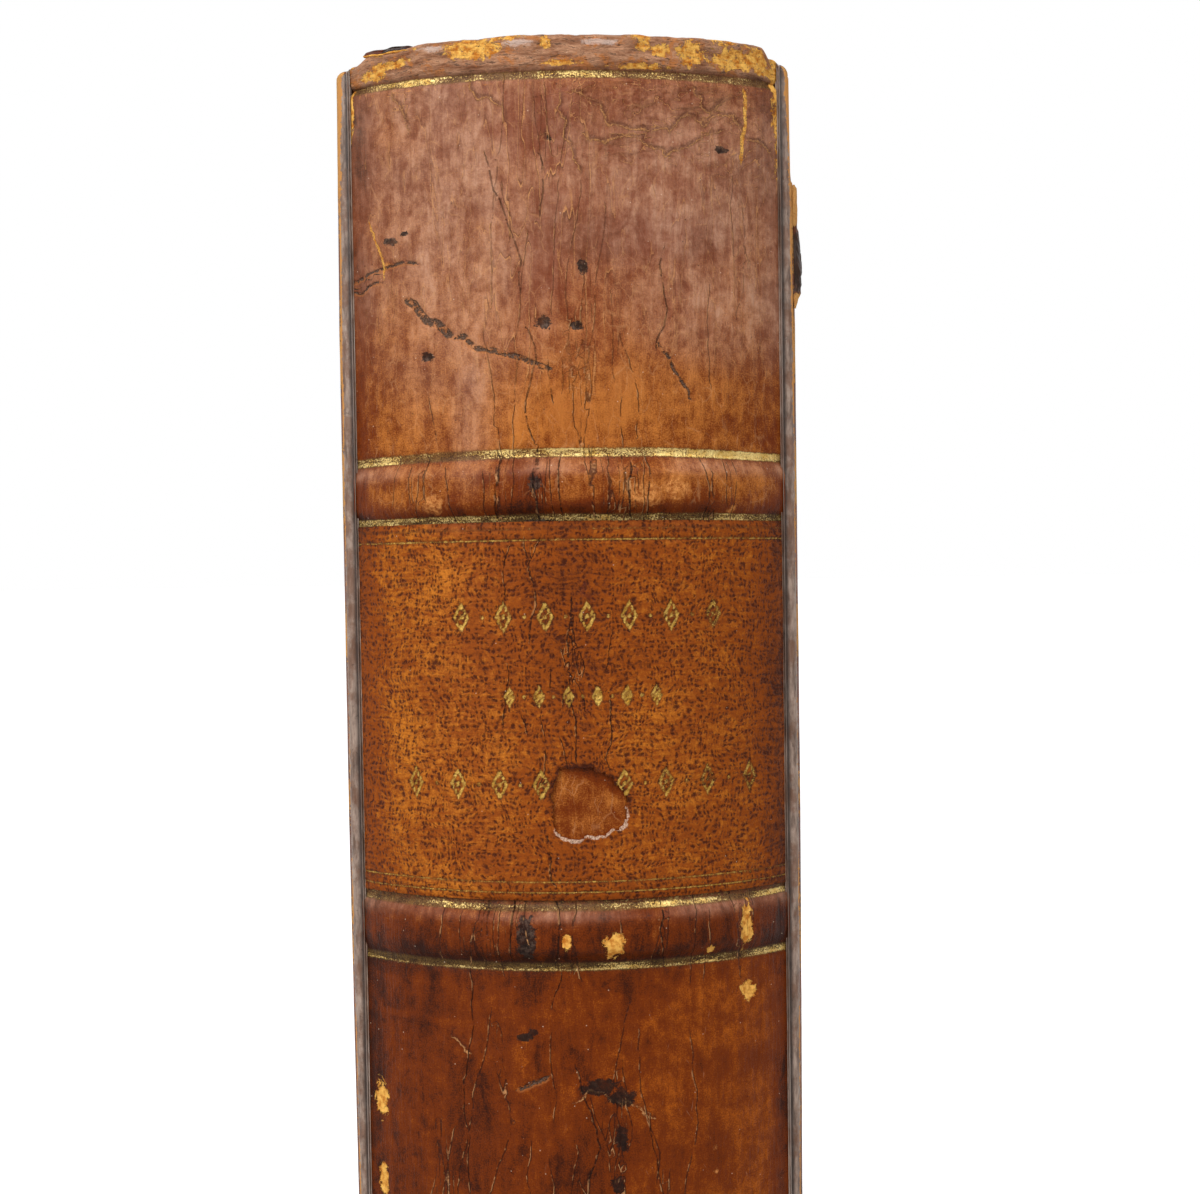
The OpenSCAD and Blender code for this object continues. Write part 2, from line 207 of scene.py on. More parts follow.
SMUDGES = [
    (362, 150, 16, 70), (552, 120, 34, 36), (545, 250, 22, 60), (366, 300, 12, 60), (370, 520, 42, 7),
    (392, 478, 14, 10), (640, 240, 120, 26), (535, 485, 14, 26), (700, 495, 30, 20), (395, 965, 40, 10),
    (420, 1010, 40, 24),
    (372, 1040, 16, 90), (740, 1060, 50, 20), (787, 1060, 14, 110), (470, 1130, 30, 60), (596, 1150, 60, 50),
    (720, 1150, 16, 36), (420, 935, 30, 16), (600, 930, 30, 20), (700, 930, 40, 16), (770, 930, 16, 20),
]


# Random fields

# What a distance field holds where nothing is near
FAR = 9.0


def smooth(x, low, high):
    """A smooth rise from 0 at low to 1 at high."""
    t = np.clip((x - low) / (high - low), 0, 1)
    return t * t * (3 - 2 * t)


def bell(x, middle, width):
    """1 at the middle, falling to 0 on both sides."""
    return np.exp(-(((x - middle) / width) ** 2))


def waves(u, v, size, seed):
    """Smooth random waves from -1 to 1, about size across."""
    table = np.random.default_rng(seed).uniform(-1, 1, (256, 256))
    a, b = u / size + 91.3, v / size + 37.7
    i, j = np.floor(a).astype(int), np.floor(b).astype(int)
    s, t = smooth(a - i, 0, 1), smooth(b - j, 0, 1)
    i0, i1, j0, j1 = i % 256, (i + 1) % 256, j % 256, (j + 1) % 256
    near = table[i0, j0] * (1 - s) + table[i1, j0] * s
    far = table[i0, j1] * (1 - s) + table[i1, j1] * s
    return near * (1 - t) + far * t


def rough(u, v, size, seed, steps=3):
    """Waves of halving size and height, one on another."""
    total = 0
    for k in range(steps):
        total = total + waves(u, v, size / 2**k, seed + k) / 2**k
    return total / (2 - 0.5 ** (steps - 1))


def ovals(u, v, spots, soft=None):
    """Patches given by their middles and radii in photo pixels. Each falls from 1 in its middle to a half
    at its edge and 0 at twice its size, or smoothly to 0 over a soft edge."""
    total = np.zeros_like(u)
    for px, py, rx, ry in spots:
        u0, v0 = on_spine(px - rx, py)
        u1, v1 = on_spine(px + rx, py)
        half = max(abs(u1 - u0) / 2, 0.1)
        d = np.hypot((u - (u0 + u1) / 2) / half, (v - (v0 + v1) / 2) / (ry / PX_PER_MM))
        patch = np.clip(1 - d / 2, 0, 1) if soft is None else 1 - smooth(d, 1 - soft, 1 + soft)
        total = np.maximum(total, patch)
    return total


def shaken(points, rng, steps=2, share=0.12):
    """A path with points added midway, each pushed a little to one side."""
    for _ in range(steps):
        out = [points[0]]
        for p, q in zip(points, points[1:]):
            length = math.dist(p, q)
            off = rng.normal(0, share * length)
            side = ((p[1] - q[1]) / length, (q[0] - p[0]) / length)
            out.append(((p[0] + q[0]) / 2 + side[0] * off, (p[1] + q[1]) / 2 + side[1] * off))
            out.append(q)
        points = out
    return points


def traced(lines, seed, share=0.12):
    """Lines given in the photo's pixels, as shaken paths on the unrolled spine."""
    rng = np.random.default_rng(seed)
    return [(width, shaken([on_spine(*pixel) for pixel in path], rng, share=share)) for width, path in lines]


CRACK_STEP = 0.9


def age_cracks(seed, count, across, up, length, width, wander=0.28):
    """Fine cracks that run up and down the leather, in a stated part of the unrolled spine."""
    rng = np.random.default_rng(seed)
    lines = []
    for _ in range(count):
        u, v = rng.uniform(*across), rng.uniform(*up)
        steps = int(rng.uniform(*length) / CRACK_STEP)
        lean, path = rng.normal(0, 0.6 * wander), [(u, v)]
        for _ in range(steps):
            lean = 0.7 * lean + rng.normal(0, wander)
            u, v = u + CRACK_STEP * lean, v - CRACK_STEP
            path.append((u, v))
        if len(path) > 1:
            lines.append((rng.uniform(*width), path))
    return lines


def line_field(u, v, lines):
    """For each point the nearest line's distance with its side as the sign, the plain distance, and its half
    width. Lines more than 2 mm away don't count."""
    near = np.full(u.size, FAR)
    side = np.full(u.size, FAR)
    half = np.zeros(u.size)
    flat_u, flat_v = u.ravel(), v.ravel()
    for width, path in lines:
        us, vs = np.array(path).T
        close = (flat_u > us.min() - 2) & (flat_u < us.max() + 2)
        close &= (flat_v > vs.min() - 2) & (flat_v < vs.max() + 2)
        found = np.nonzero(close)[0]
        fu, fv = flat_u[found], flat_v[found]
        for (u0, v0), (u1, v1) in zip(path, path[1:]):
            eu, ev = u1 - u0, v1 - v0
            t = np.clip(((fu - u0) * eu + (fv - v0) * ev) / (eu * eu + ev * ev + 1e-9), 0, 1)
            du, dv = fu - u0 - t * eu, fv - v0 - t * ev
            d = np.hypot(du, dv)
            closer = d < near[found]
            at = found[closer]
            near[at] = d[closer]
            side[at] = np.where(eu * dv - ev * du < 0, -d, d)[closer]
            half[at] = width / 2
    return np.stack([side, near, half], -1).reshape(*u.shape, 3)


def line_depth(field, soft=0.25):
    """1 in the middle of a line and 0 outside it."""
    return 1 - smooth(field[..., 1], field[..., 2] * 0.4, field[..., 2] + soft)


# Meshes from arrays


def grid_faces(rows, columns):
    """Quads between the points of a grid."""
    index = np.arange(rows * columns).reshape(rows, columns)
    return np.stack([index[:-1, :-1], index[:-1, 1:], index[1:, 1:], index[1:, :-1]], -1).reshape(-1, 4)


def slab(top, under, keep=None):
    """A closed sheet between two grids of points. Faces that keep leaves out become holes."""
    rows, columns = top.shape[:2]
    count = rows * columns
    quads = grid_faces(rows, columns)
    if keep is not None:
        quads = quads[keep.ravel()]
    edges = np.concatenate([quads[:, [0, 1]], quads[:, [1, 2]], quads[:, [2, 3]], quads[:, [3, 0]]])
    keys = edges.min(1) * count + edges.max(1)
    _, inverse, uses = np.unique(keys, return_inverse=True, return_counts=True)
    rim = edges[uses[inverse] == 1]
    walls = np.stack([rim[:, 1], rim[:, 0], rim[:, 0] + count, rim[:, 1] + count], -1)
    points = np.concatenate([top.reshape(-1, 3), under.reshape(-1, 3)])
    return points, [*quads.tolist(), *(quads[:, ::-1] + count).tolist(), *walls.tolist()]


def loop_sweep(rings):
    """Closed sections joined in a row, with a flat face at each end."""
    rows, count = rings.shape[:2]
    index = np.arange(rows * count).reshape(rows, count)
    after = np.roll(index, -1, 1)
    quads = np.stack([index[:-1], after[:-1], after[1:], index[1:]], -1).reshape(-1, 4)
    return rings.reshape(-1, 3), [*quads.tolist(), index[0][::-1].tolist(), index[-1].tolist()]


def together(*parts):
    """Several lots of points and faces as one."""
    points, faces, start = [], [], 0
    for these, those in parts:
        points.append(these)
        faces += [[i + start for i in face] for face in those]
        start += len(these)
    return np.concatenate(points), faces


def set_field(mesh, name, values):
    values = np.asarray(values, np.float32)
    kind, key = ("FLOAT", "value") if values.ndim == 1 else ("FLOAT_VECTOR", "vector")
    mesh.attributes.new(name, kind, "POINT").data.foreach_set(key, values.ravel())


def new_object(name, points, faces, fields=None):
    """An object from points in millimetres, with its outward sides set and its fields on the points."""
    mesh = bpy.data.meshes.new(name)
    mesh.from_pydata((np.asarray(points) * MM).tolist(), [], faces)
    for key, values in (fields or {}).items():
        set_field(mesh, key, values)
    shape = bmesh.new()
    shape.from_mesh(mesh)
    loose = [v for v in shape.verts if not v.link_faces]
    bmesh.ops.delete(shape, geom=loose, context="VERTS")
    bmesh.ops.recalc_face_normals(shape, faces=shape.faces)
    shape.to_mesh(mesh)
    shape.free()
    made = bpy.data.objects.new(name, mesh)
    bpy.context.scene.collection.objects.link(made)
    return made


def piece(name, points, faces, material, slot, fields, sharp=35):
    """A dressed piece, smooth but for edges sharper than a number of degrees."""
    made = new_object(name, points, faces, fields)
    made.data.shade_smooth()
    made.data.set_sharp_from_angle(angle=math.radians(sharp))
    made.data.materials.append(material)
    return made


def on_arc(r, phi, z):
    """Points round the spine's axis."""
    return np.stack([r * np.sin(phi), AXIS_Y - r * np.cos(phi), z], -1)


# Materials


def colour(red, green, blue):
    """A colour as a screen shows it, from 0 to 255, made linear."""
    parts = (red / 255, green / 255, blue / 255)
    return (*(((c + 0.055) / 1.055) ** 2.4 if c > 10 / 255 else c / 12.92 for c in parts), 1)


class Graph:
    """The nodes of a material or a world. Each call takes sockets or plain values and gives a socket."""

    def __init__(self, owner, output="OutputMaterial", shader="BsdfPrincipled"):
        if isinstance(owner, str):
            owner = bpy.data.materials.new(owner)
        owner.use_nodes = True
        self.owner, self.tree, self.skin = owner, owner.node_tree, None
        self.tree.nodes.clear()
        last = self.node(output)
        self.shader = self.node(shader)
        self.put(last.inputs[0], self.shader.outputs[0])

    def put(self, socket, value):
        if isinstance(value, bpy.types.NodeSocket):
            self.tree.links.new(value, socket)
        elif value is not None:
            socket.default_value = value

    def node(self, kind, inputs=(), **settings):
        """A node with its settings made and some of its inputs given, in a row or by their names."""
        node = self.tree.nodes.new("ShaderNode" + kind)
        for key, value in settings.items():
            setattr(node, key, value)
        for key, value in inputs.items() if isinstance(inputs, dict) else enumerate(inputs):
            self.put(node.inputs[key], value)
        return node

    def math(self, operation, *values):
        return self.node("Math", values, operation=operation).outputs[0]

    def chain(self, operation, values):
        total = values[0]
        for value in values[1:]:
            total = self.math(operation, total, value)
        return total

    def add(self, *values):
        return self.chain("ADD", values)

    def times(self, *values):
        return self.chain("MULTIPLY", values)

    def most(self, *values):
        return self.chain("MAXIMUM", values)

    def ramp(self, value, slope, start):
        return self.math("MULTIPLY_ADD", value, slope, start)

    def swing(self, value, reach):
        """A value from 0 to 1 made to swing about 0, by half of reach to either side."""
        return self.ramp(value, reach, -reach / 2)

    def step(self, value, low, high, start=0.0, end=1.0):
        """A smooth change from start to end while value goes from low to high."""
        given = (value, low, high, start, end)
        return self.node("MapRange", given, interpolation_type="SMOOTHSTEP").outputs[0]

    def fade(self, value, low, high):
        return self.step(value, low, high, 1.0, 0.0)

    def blend(self, share, a, b):
        """Colour a turning to colour b. A triple is a colour as a screen shows it."""
        a, b = (colour(*c) if isinstance(c, tuple) and len(c) == 3 else c for c in (a, b))
        return self.node("Mix", {0: share, 6: a, 7: b}, data_type="RGBA").outputs[2]

    def coat(self, over, *shares):
        """Covers the skin so far with a colour, by the product of the shares."""
        self.skin = self.blend(self.times(*shares), self.skin, over)

    def field(self, name, output="Fac"):
        return self.node("Attribute", attribute_name=name).outputs[output]

    def vector(self, name):
        return self.field(name, "Vector")

    def place(self):
        """The point on the object in millimetres."""
        return self.scaled(self.node("TexCoord").outputs["Object"], (1000, 1000, 1000))

    def scaled(self, vector, scale):
        node = self.node("VectorMath", (vector,), operation="MULTIPLY")
        node.inputs[1].default_value = scale
        return node.outputs[0]

    def stirred(self, vector, at, size, reach):
        """A vector pushed about by noise with features about size across."""
        noise = self.node("TexNoise", {"Vector": at, "Scale": 1 / size})
        return self.node("VectorMath", (vector, self.scaled(noise.outputs[1], reach))).outputs[0]

    def split(self, vector):
        return self.node("SeparateXYZ", (vector,)).outputs

    def noise(self, vector, size, detail=3.0, rough=0.5, twist=0.0):
        """Noise from 0 to 1 with features about size across."""
        given = {"Vector": vector, "Scale": 1 / size, "Detail": detail, "Roughness": rough}
        return self.node("TexNoise", {**given, "Distortion": twist}).outputs[0]

    def cells(self, vector, size, feature="F1", random=1.0, output="Distance"):
        given = {"Vector": vector, "Scale": 1 / size, "Randomness": random}
        return self.node("TexVoronoi", given, feature=feature).outputs[output]

    def line(self, name, shake=0.0, soft=0.05, off=0.0):
        """1 on the lines of a line field, their edges shaken, or on a line a little to one side of them."""
        side, near, half = self.split(self.vector(name))
        away = self.math("ABSOLUTE", self.add(side, shake, off))
        return self.times(self.fade(self.math("SUBTRACT", away, half), 0, soft), self.fade(near, 0.4, 0.6))

    def bump(self, *heights):
        """A bump from a sum of heights in millimetres, each given as its factors."""
        height = self.add(*(self.times(*factors) for factors in heights))
        node = self.node("Bump", {"Strength": 1.0, "Distance": MM, "Height": height})
        self.put(self.shader.inputs["Normal"], node.outputs[0])

    def finish(self, rough, gloss):
        self.put(self.shader.inputs["Base Color"], self.skin)
        self.put(self.shader.inputs["Roughness"], rough)
        self.shader.inputs["Specular IOR Level"].default_value = gloss
        return self.owner


def ragged(g, name, at, low=0.46, high=0.54, size=1.0, share=1.5):
    """A soft field turned into a patch with an irregular edge."""
    wobble = g.swing(g.noise(at, size, 5.0, 0.75, 0.5), share)
    return g.step(g.add(g.field(name), g.times(wobble, g.step(g.field(name), 0.0, 0.25))), low, high)


def dust(g, at, size, share):
    """Fine specks."""
    near = g.cells(at, size)
    lot = g.split(near.node.outputs["Color"])[0]
    return g.times(g.fade(near, share * 0.5, share), g.step(lot, 0.40, 0.50))


def hairs(g, at, lean, size=0.5):
    """Short fine scratches that lie one way."""
    turned = g.node("VectorRotate", {"Vector": at, "Angle": math.radians(lean)}, rotation_type="Z_AXIS")
    long = g.scaled(turned.outputs[0], (1.0, 0.11, 1.0))
    return g.step(g.noise(long, size, 3.0, 0.75), 0.66, 0.74)


def split_lines(g, name, shake, dark, light, strength, lips, soft=0.05):
    """Cracks, dark in one place and showing a pale frayed edge in the next."""
    lot = g.noise(g.vector("flat"), 2.2, 3.0, 0.75)
    core = g.times(g.line(name, shake, soft), g.step(lot, 0.36, 0.48))
    lip = g.times(g.line(name, shake, soft, 0.08), g.step(lot, 0.50, 0.62))
    g.coat(dark, core, strength)
    g.coat(light, lip, lips)
    return core, lip


def flakes(g, vector, size, count, name):
    """Overlapping steps of thin skin: height inside a step, its pale edge, and the shade beside that edge."""
    inside = g.math("FRACT", g.times(g.noise(vector, size, 4.0, 0.55, 0.3), count))
    there = g.times(g.field(name), g.step(g.noise(vector, size * 0.8, 2.0), 0.34, 0.50))
    shapes = inside, g.step(inside, 0.92, 0.98), g.fade(inside, 0.0, 0.09)
    return [g.times(shape, there) for shape in shapes]


def gilding(g, name, at, wide, fine, mottle):
    """Worn gold in a tooled groove: how much is groove, how much is gold, and the groove's colour."""
    fray = g.swing(g.noise(at, 0.50, 6.0, 0.85), 0.6)
    away = g.add(g.field(name), fray)
    kept = g.times(g.noise(at, 0.20, 4.0, 0.8), 1.5)
    left = g.add(kept, g.times(g.noise(wide, 1.4, 5.0, 0.7), 1.3), g.field("shine"))
    groove = g.step(away, -0.10, 0.22, 0.75, 0.0)
    gold = g.times(g.fade(away, -0.10, 0.04), g.step(left, 1.84, 2.06))
    dirt = g.add(g.times(fine, 0.5), g.times(mottle, 0.5))
    patina = g.blend(g.step(dirt, 0.38, 0.62), (52, 36, 20), (118, 90, 46))
    return groove, gold, patina


def spine_calf():
    """Polished calf, crazed and flaked up its middle, with gilt lines, painted sheen and painted shade."""
    g = Graph("spine_calf")
    at = g.vector("flat")
    tall = g.scaled(at, (1.0, 0.10, 1.0))
    wide = g.scaled(at, (0.25, 1.0, 1.0))
    cloud = g.noise(at, 8.0, 5.0, 0.65, 0.4)
    mottle = g.noise(at, 1.6, 5.0, 0.75)
    broken = g.step(g.noise(g.scaled(at, (1.0, 0.5, 1.0)), 3.0, 7.0, 0.72, 0.7), 0.36, 0.64)
    streak = g.noise(tall, 0.9, 4.0, 0.7)
    grain = g.noise(at, 0.16, 2.0, 0.6)
    blots = g.step(g.noise(g.scaled(at, (1.0, 0.42, 1.0)), 2.2, 6.0, 0.75, 0.6), 0.50, 0.66)
    blots = g.times(blots, g.step(g.field("tone"), 0.40, 0.52, 1.0, 0.25))
    smudge = g.times(ragged(g, "smudge", at, 0.30, 0.85, 4.0, 0.9), g.step(mottle, 0.3, 0.7, 0.4, 1.0))
    tone = g.add(
        g.field("tone"),
        g.times(smudge, -0.24),
        g.times(blots, -0.20),
        g.swing(cloud, 0.56),
        g.swing(broken, 0.18),
        g.swing(mottle, 0.90),
        g.swing(streak, 0.40),
        g.swing(grain, 0.80),
    )
    g.skin = g.blend(g.step(tone, -0.08, 0.46), (50, 18, 5), (112, 45, 2))
    g.coat(g.blend(g.field("rich"), (198, 120, 50), (184, 95, 18)), g.step(tone, 0.40, 1.05))
    g.coat((118, 44, 20), g.field("red"), g.step(cloud, 0.3, 0.65), 0.5)
    # Painted sheen: a pale veil laid where the lamps' highlight falls
    haze = g.times(g.field("haze"), g.step(mottle, 0.3, 0.7, 0.4, 1.0), g.ramp(broken, 0.5, 0.35))
    haze = g.times(haze, g.step(streak, 0.36, 0.62, 0.78, 1.16))
    g.coat((194, 148, 122), haze)
    bent = g.stirred(at, at, 1.5, (1.4, 1.4, 0.0))
    crazed = g.fade(g.cells(g.scaled(bent, (1.0, 0.4, 1.0)), 1.7, "DISTANCE_TO_EDGE"), 0.0, 0.035)
    crazed = g.times(crazed, g.step(g.noise(at, 2.6, 3.0), 0.42, 0.58), g.step(g.field("tone"), 0.44, 0.58))
    crazed = g.times(crazed, g.fade(g.field("rich"), 0.0, 1.0))
    g.coat((214, 156, 104), crazed, 0.24)
    fine = g.most(hairs(g, at, 12), hairs(g, at, -34, 0.4))
    g.coat((206, 158, 124), fine, g.step(g.field("tone"), 0.40, 0.62, 0.05, 0.26))
    skin_step, lip, shade = flakes(g, g.scaled(at, (1.0, 0.13, 1.0)), 6.0, 12.0, "flake")
    scale_step, scale_lip, scale_shade = flakes(g, g.scaled(at, (0.55, 1.0, 1.0)), 5.0, 11.0, "scale")
    drift = g.swing(g.noise(at, 0.8, 4.0, 0.8), 1.0)
    kept = g.step(g.noise(at, 1.1, 3.0, 0.7), 0.34, 0.48)
    fray_lip = g.times(g.line("fray", drift, 0.10), kept)
    fray_shade = g.times(g.line("fray", drift, 0.34, -0.20), g.step(grain, 0.2, 0.6))
    fray_shade = g.times(fray_shade, g.step(kept, 0.0, 1.0, 0.35, 1.0))
    edge = g.most(lip, scale_lip, fray_lip)
    under = g.most(shade, scale_shade, fray_shade)
    g.coat((58, 24, 14), under, 0.55)
    g.coat((212, 150, 92), edge, g.step(grain, 0.3, 0.6, 0.2, 0.75))
    cap = g.field("cap")
    hide = g.blend(g.step(g.noise(wide, 0.7, 5.0, 0.7), 0.3, 0.7), (120, 72, 46), (206, 154, 118))
    hide = g.blend(g.times(g.step(g.noise(at, 2.2, 6.0, 0.75, 0.4), 0.50, 0.60), 0.75), hide, (186, 112, 52))
    # Dark streaks across the headcap draw its wrinkles: painted shade in their creases
    hide = g.blend(g.step(g.noise(wide, 0.35, 4.0, 0.75), 0.54, 0.62, 0.0, 0.75), hide, (56, 36, 30))
    g.coat(hide, cap)
    # Pale rubs: wear, but painted highlights on the headcap's top edge and in a line under the head gilt line
    rub_and_highlight = ragged(g, "pale", at, 0.34, 0.70)
    rubbed = g.blend(g.step(g.noise(at, 0.5, 5.0, 0.75), 0.36, 0.62), (138, 64, 18), (228, 154, 84))
    g.coat(g.blend(cap, rubbed, (208, 182, 168)), rub_and_highlight, 0.75)
    groove, gilt, patina = gilding(g, "gilt", at, wide, grain, mottle)
    g.coat(patina, groove)
    g.coat(g.blend(g.step(mottle, 0.3, 0.7), (212, 162, 70), (255, 228, 152)), gilt)
    stain = ragged(g, "dark", at)
    # The spots' grey flecks are partly their own grey texture and partly painted sheen
    stain_grey_and_sheen = g.blend(g.field("rich"), (86, 70, 60), (48, 34, 26))
    soot = g.blend(g.step(g.noise(at, 0.6, 5.0, 0.75), 0.44, 0.66), (24, 17, 14), stain_grey_and_sheen)
    g.coat(soot, stain, g.step(mottle, 0.3, 0.6, 0.70, 0.95))
    shake = g.swing(g.noise(at, 0.45, 3.0, 0.75), 0.6)
    pits = g.step(g.noise(at, 0.9, 3.0, 0.75), 0.40, 0.52)
    gouge = g.times(g.line("gouge", shake, 0.16), pits)
    g.coat((190, 118, 62), g.line("gouge", shake, 0.2, 0.2), 0.35)
    g.coat(g.blend(g.step(grain, 0.35, 0.65), (30, 23, 20), (98, 80, 68)), gouge, 0.9)
    wander = g.swing(g.noise(at, 0.6, 3.0), 0.24)
    mild = g.step(g.field("flake"), 0.15, 0.6, 0.7, 0.3)
    crack, crack_lip = split_lines(g, "crack", wander, (44, 20, 12), (208, 150, 98), mild, 0.7)
    mild = g.step(g.field("flake"), 0.15, 0.6, 0.8, 0.5)
    split, _ = split_lines(g, "split", wander, (26, 15, 11), (190, 134, 88), mild, 0.7, 0.06)
    raw = g.most(ragged(g, "raw", at), g.times(g.line("scratch", shake, 0.1), g.step(grain, 0.3, 0.5)))
    raw = g.times(raw, g.blend(cap, (1, 1, 1, 1), g.step(g.noise(at, 0.4, 4.0, 0.8), 0.36, 0.44)))
    bare = g.blend(g.step(g.noise(at, 0.9, 5.0, 0.65), 0.34, 0.62), (190, 110, 34), (246, 188, 92))
    g.coat(bare, raw)
    g.coat((228, 200, 172), dust(g, at, 1.2, 0.07), 0.6)
    g.coat((44, 24, 16), dust(g, at, 1.7, 0.07), 0.6)
    worn = g.most(raw, g.times(rub_and_highlight, 0.6))
    rough = g.step(worn, 0.0, 1.0, g.ramp(mottle, 0.24, 0.26), 0.85)
    g.put(g.shader.inputs["Metallic"], g.times(gilt, 0.7))
    g.bump(
        (mottle, 0.14), (streak, 0.18), (grain, 0.03), (skin_step, 0.16), (scale_step, 0.16),
        (fray_lip, 0.10), (crack, -0.08), (split, -0.14), (crack_lip, 0.05), (gouge, -0.14), (raw, -0.08),
        (raw, g.noise(at, 0.3, 3.0, 0.6), 0.04), (cap, g.noise(wide, 0.6, 4.0, 0.7), 0.45),
    )
    return g.finish(rough, 0.12)


def label_leather():
    """Thin goatskin whose dark pores stand in wavy rows."""
    g = Graph("label_leather")
    at = g.vector("flat")
    wide = g.scaled(at, (0.25, 1.0, 1.0))
    cloud = g.noise(at, 6.0, 4.0, 0.65)
    mottle = g.noise(at, 1.1, 5.0, 0.7)
    fine = g.noise(at, 0.20, 3.0, 0.7)
    wander = g.stirred(at, at, 5.0, (3.0, 2.0, 0.0))
    drift = g.stirred(wander, at, 0.9, (0.55, 0.55, 0.0))
    blotch = g.noise(g.scaled(drift, (1.0, 0.6, 1.0)), 0.62, 4.0, 0.7)
    dots = g.cells(g.scaled(drift, (1.0, 0.84, 1.0)), 0.46, random=0.5)
    spread = g.add(dots, g.swing(fine, 0.7), g.swing(blotch, 1.1))
    pitted = g.fade(spread, 0.10, 0.56)
    lines = g.step(g.noise(g.scaled(drift, (0.12, 1.0, 1.0)), 0.36, 2.0), 0.46, 0.66)
    tone = g.add(
        g.field("tone"),
        g.swing(cloud, 0.56),
        g.swing(mottle, 0.60),
        g.swing(fine, 0.5),
        g.swing(blotch, 0.7),
        g.times(lines, -0.14),
    )
    g.skin = g.blend(g.step(tone, -0.05, 0.5), (58, 22, 8), (142, 67, 10))
    g.coat((206, 122, 34), g.step(tone, 0.45, 1.0))
    g.coat((68, 26, 8), pitted, g.step(tone, 0.1, 0.9, 0.94, 0.86))
    stain = ragged(g, "dark", at, 0.36, 0.64)
    g.coat((84, 32, 22), stain, 0.60)
    shake = g.swing(g.noise(at, 0.5, 2.0), 0.3)
    crack, _ = split_lines(g, "crack", shake, (30, 15, 10), (200, 136, 80), 0.85, 0.7)
    groove, gilt, _ = gilding(g, "gilt", at, wide, fine, mottle)
    g.coat((48, 26, 14), groove, 0.9)
    g.coat(g.blend(g.step(mottle, 0.3, 0.7), (172, 122, 40), (230, 188, 96)), gilt)
    torn = ragged(g, "torn", at, 0.35, 0.6, 0.5)
    g.coat(g.blend(g.step(fine, 0.35, 0.6), (140, 92, 66), (220, 188, 164)), torn, 0.85)
    g.coat((228, 206, 180), dust(g, at, 1.6, 0.05), 0.5)
    g.put(g.shader.inputs["Metallic"], g.times(gilt, 0.7))
    g.bump((pitted, -0.07), (mottle, 0.08), (crack, -0.12))
    return g.finish(g.ramp(mottle, 0.2, 0.40), 0.12)


def board_calf():
    """Rubbed calf, with bare edges and a grey bloom by the joint."""
    g = Graph("board_calf")
    at = g.place()
    cloud = g.noise(at, 22.0, 5.0, 0.6, 0.5)
    mottle = g.noise(at, 2.6, 5.0, 0.65)
    pores = g.noise(at, 0.3, 2.0, 0.6)
    tone = g.add(g.times(cloud, 0.6), g.times(mottle, 0.35), g.times(pores, 0.1))
    g.skin = g.blend(g.step(tone, 0.3, 0.75), (62, 27, 13), (142, 76, 38))
    crazing = g.fade(g.cells(at, 4.5, "DISTANCE_TO_EDGE"), 0.0, 0.03)
    crazed = g.times(crazing, g.step(g.noise(at, 12.0), 0.48, 0.6))
    g.coat((36, 18, 11), crazed, 0.5)
    long = g.noise(g.scaled(at, (1.0, 0.12, 1.0)), 1.3, 4.0, 0.7)
    scuff = g.times(g.step(long, 0.66, 0.74), g.step(cloud, 0.5, 0.6))
    g.coat((170, 118, 78), scuff, 0.5)
    grey = ragged(g, "grey", at, 0.30, 0.60)
    g.coat((164, 148, 136), grey, 0.85)
    raw = ragged(g, "raw", at, 0.44, 0.56, 0.7)
    bare = g.blend(g.noise(at, 0.5, 4.0, 0.7), (170, 92, 38), (240, 190, 112))
    g.coat(bare, raw)
    dark = ragged(g, "dark", at, 0.4, 0.6)
    g.coat((40, 30, 20), dark, 0.85)
    g.coat((220, 200, 184), dust(g, at, 1.6, 0.05), 0.35)
    rough = g.step(raw, 0.0, 1.0, g.ramp(mottle, 0.2, 0.34), 0.85)
    g.bump((mottle, 0.10), (pores, 0.05), (crazed, -0.06), (raw, g.noise(at, 0.2, 3.0, 0.7), 0.2))
    return g.finish(rough, 0.28)


def joint_calf():
    """The leather that folds at a joint: smooth, dark and shiny, with a grey bloom."""
    g = Graph("joint_calf")
    at = g.place()
    long = g.scaled(at, (1.0, 1.0, 0.22))
    mottle = g.noise(long, 0.7, 5.0, 0.7)
    patch = g.noise(at, 3.0, 5.0, 0.7)
    g.skin = g.blend(g.step(mottle, 0.30, 0.70), (96, 75, 63), (176, 152, 136))
    g.coat((116, 76, 52), g.step(patch, 0.44, 0.60, 0.0, 0.65))
    g.coat((204, 190, 180), g.field("lit"), 0.7)
    g.coat((60, 40, 32), g.step(g.noise(at, 0.8, 5.0, 0.75), 0.6, 0.68), 0.5)
    # Painted shade: dark in the fold's crease and along the edge that lies on the spine
    g.coat((34, 22, 18), g.field("fold"), 0.85)
    raw = ragged(g, "raw", at, 0.45, 0.6, 0.6)
    g.coat((206, 142, 74), raw)
    g.bump((mottle, 0.12), (g.noise(at, 0.4), 0.05))
    return g.finish(g.step(raw, 0, 1, 0.34, 0.8), 0.4)


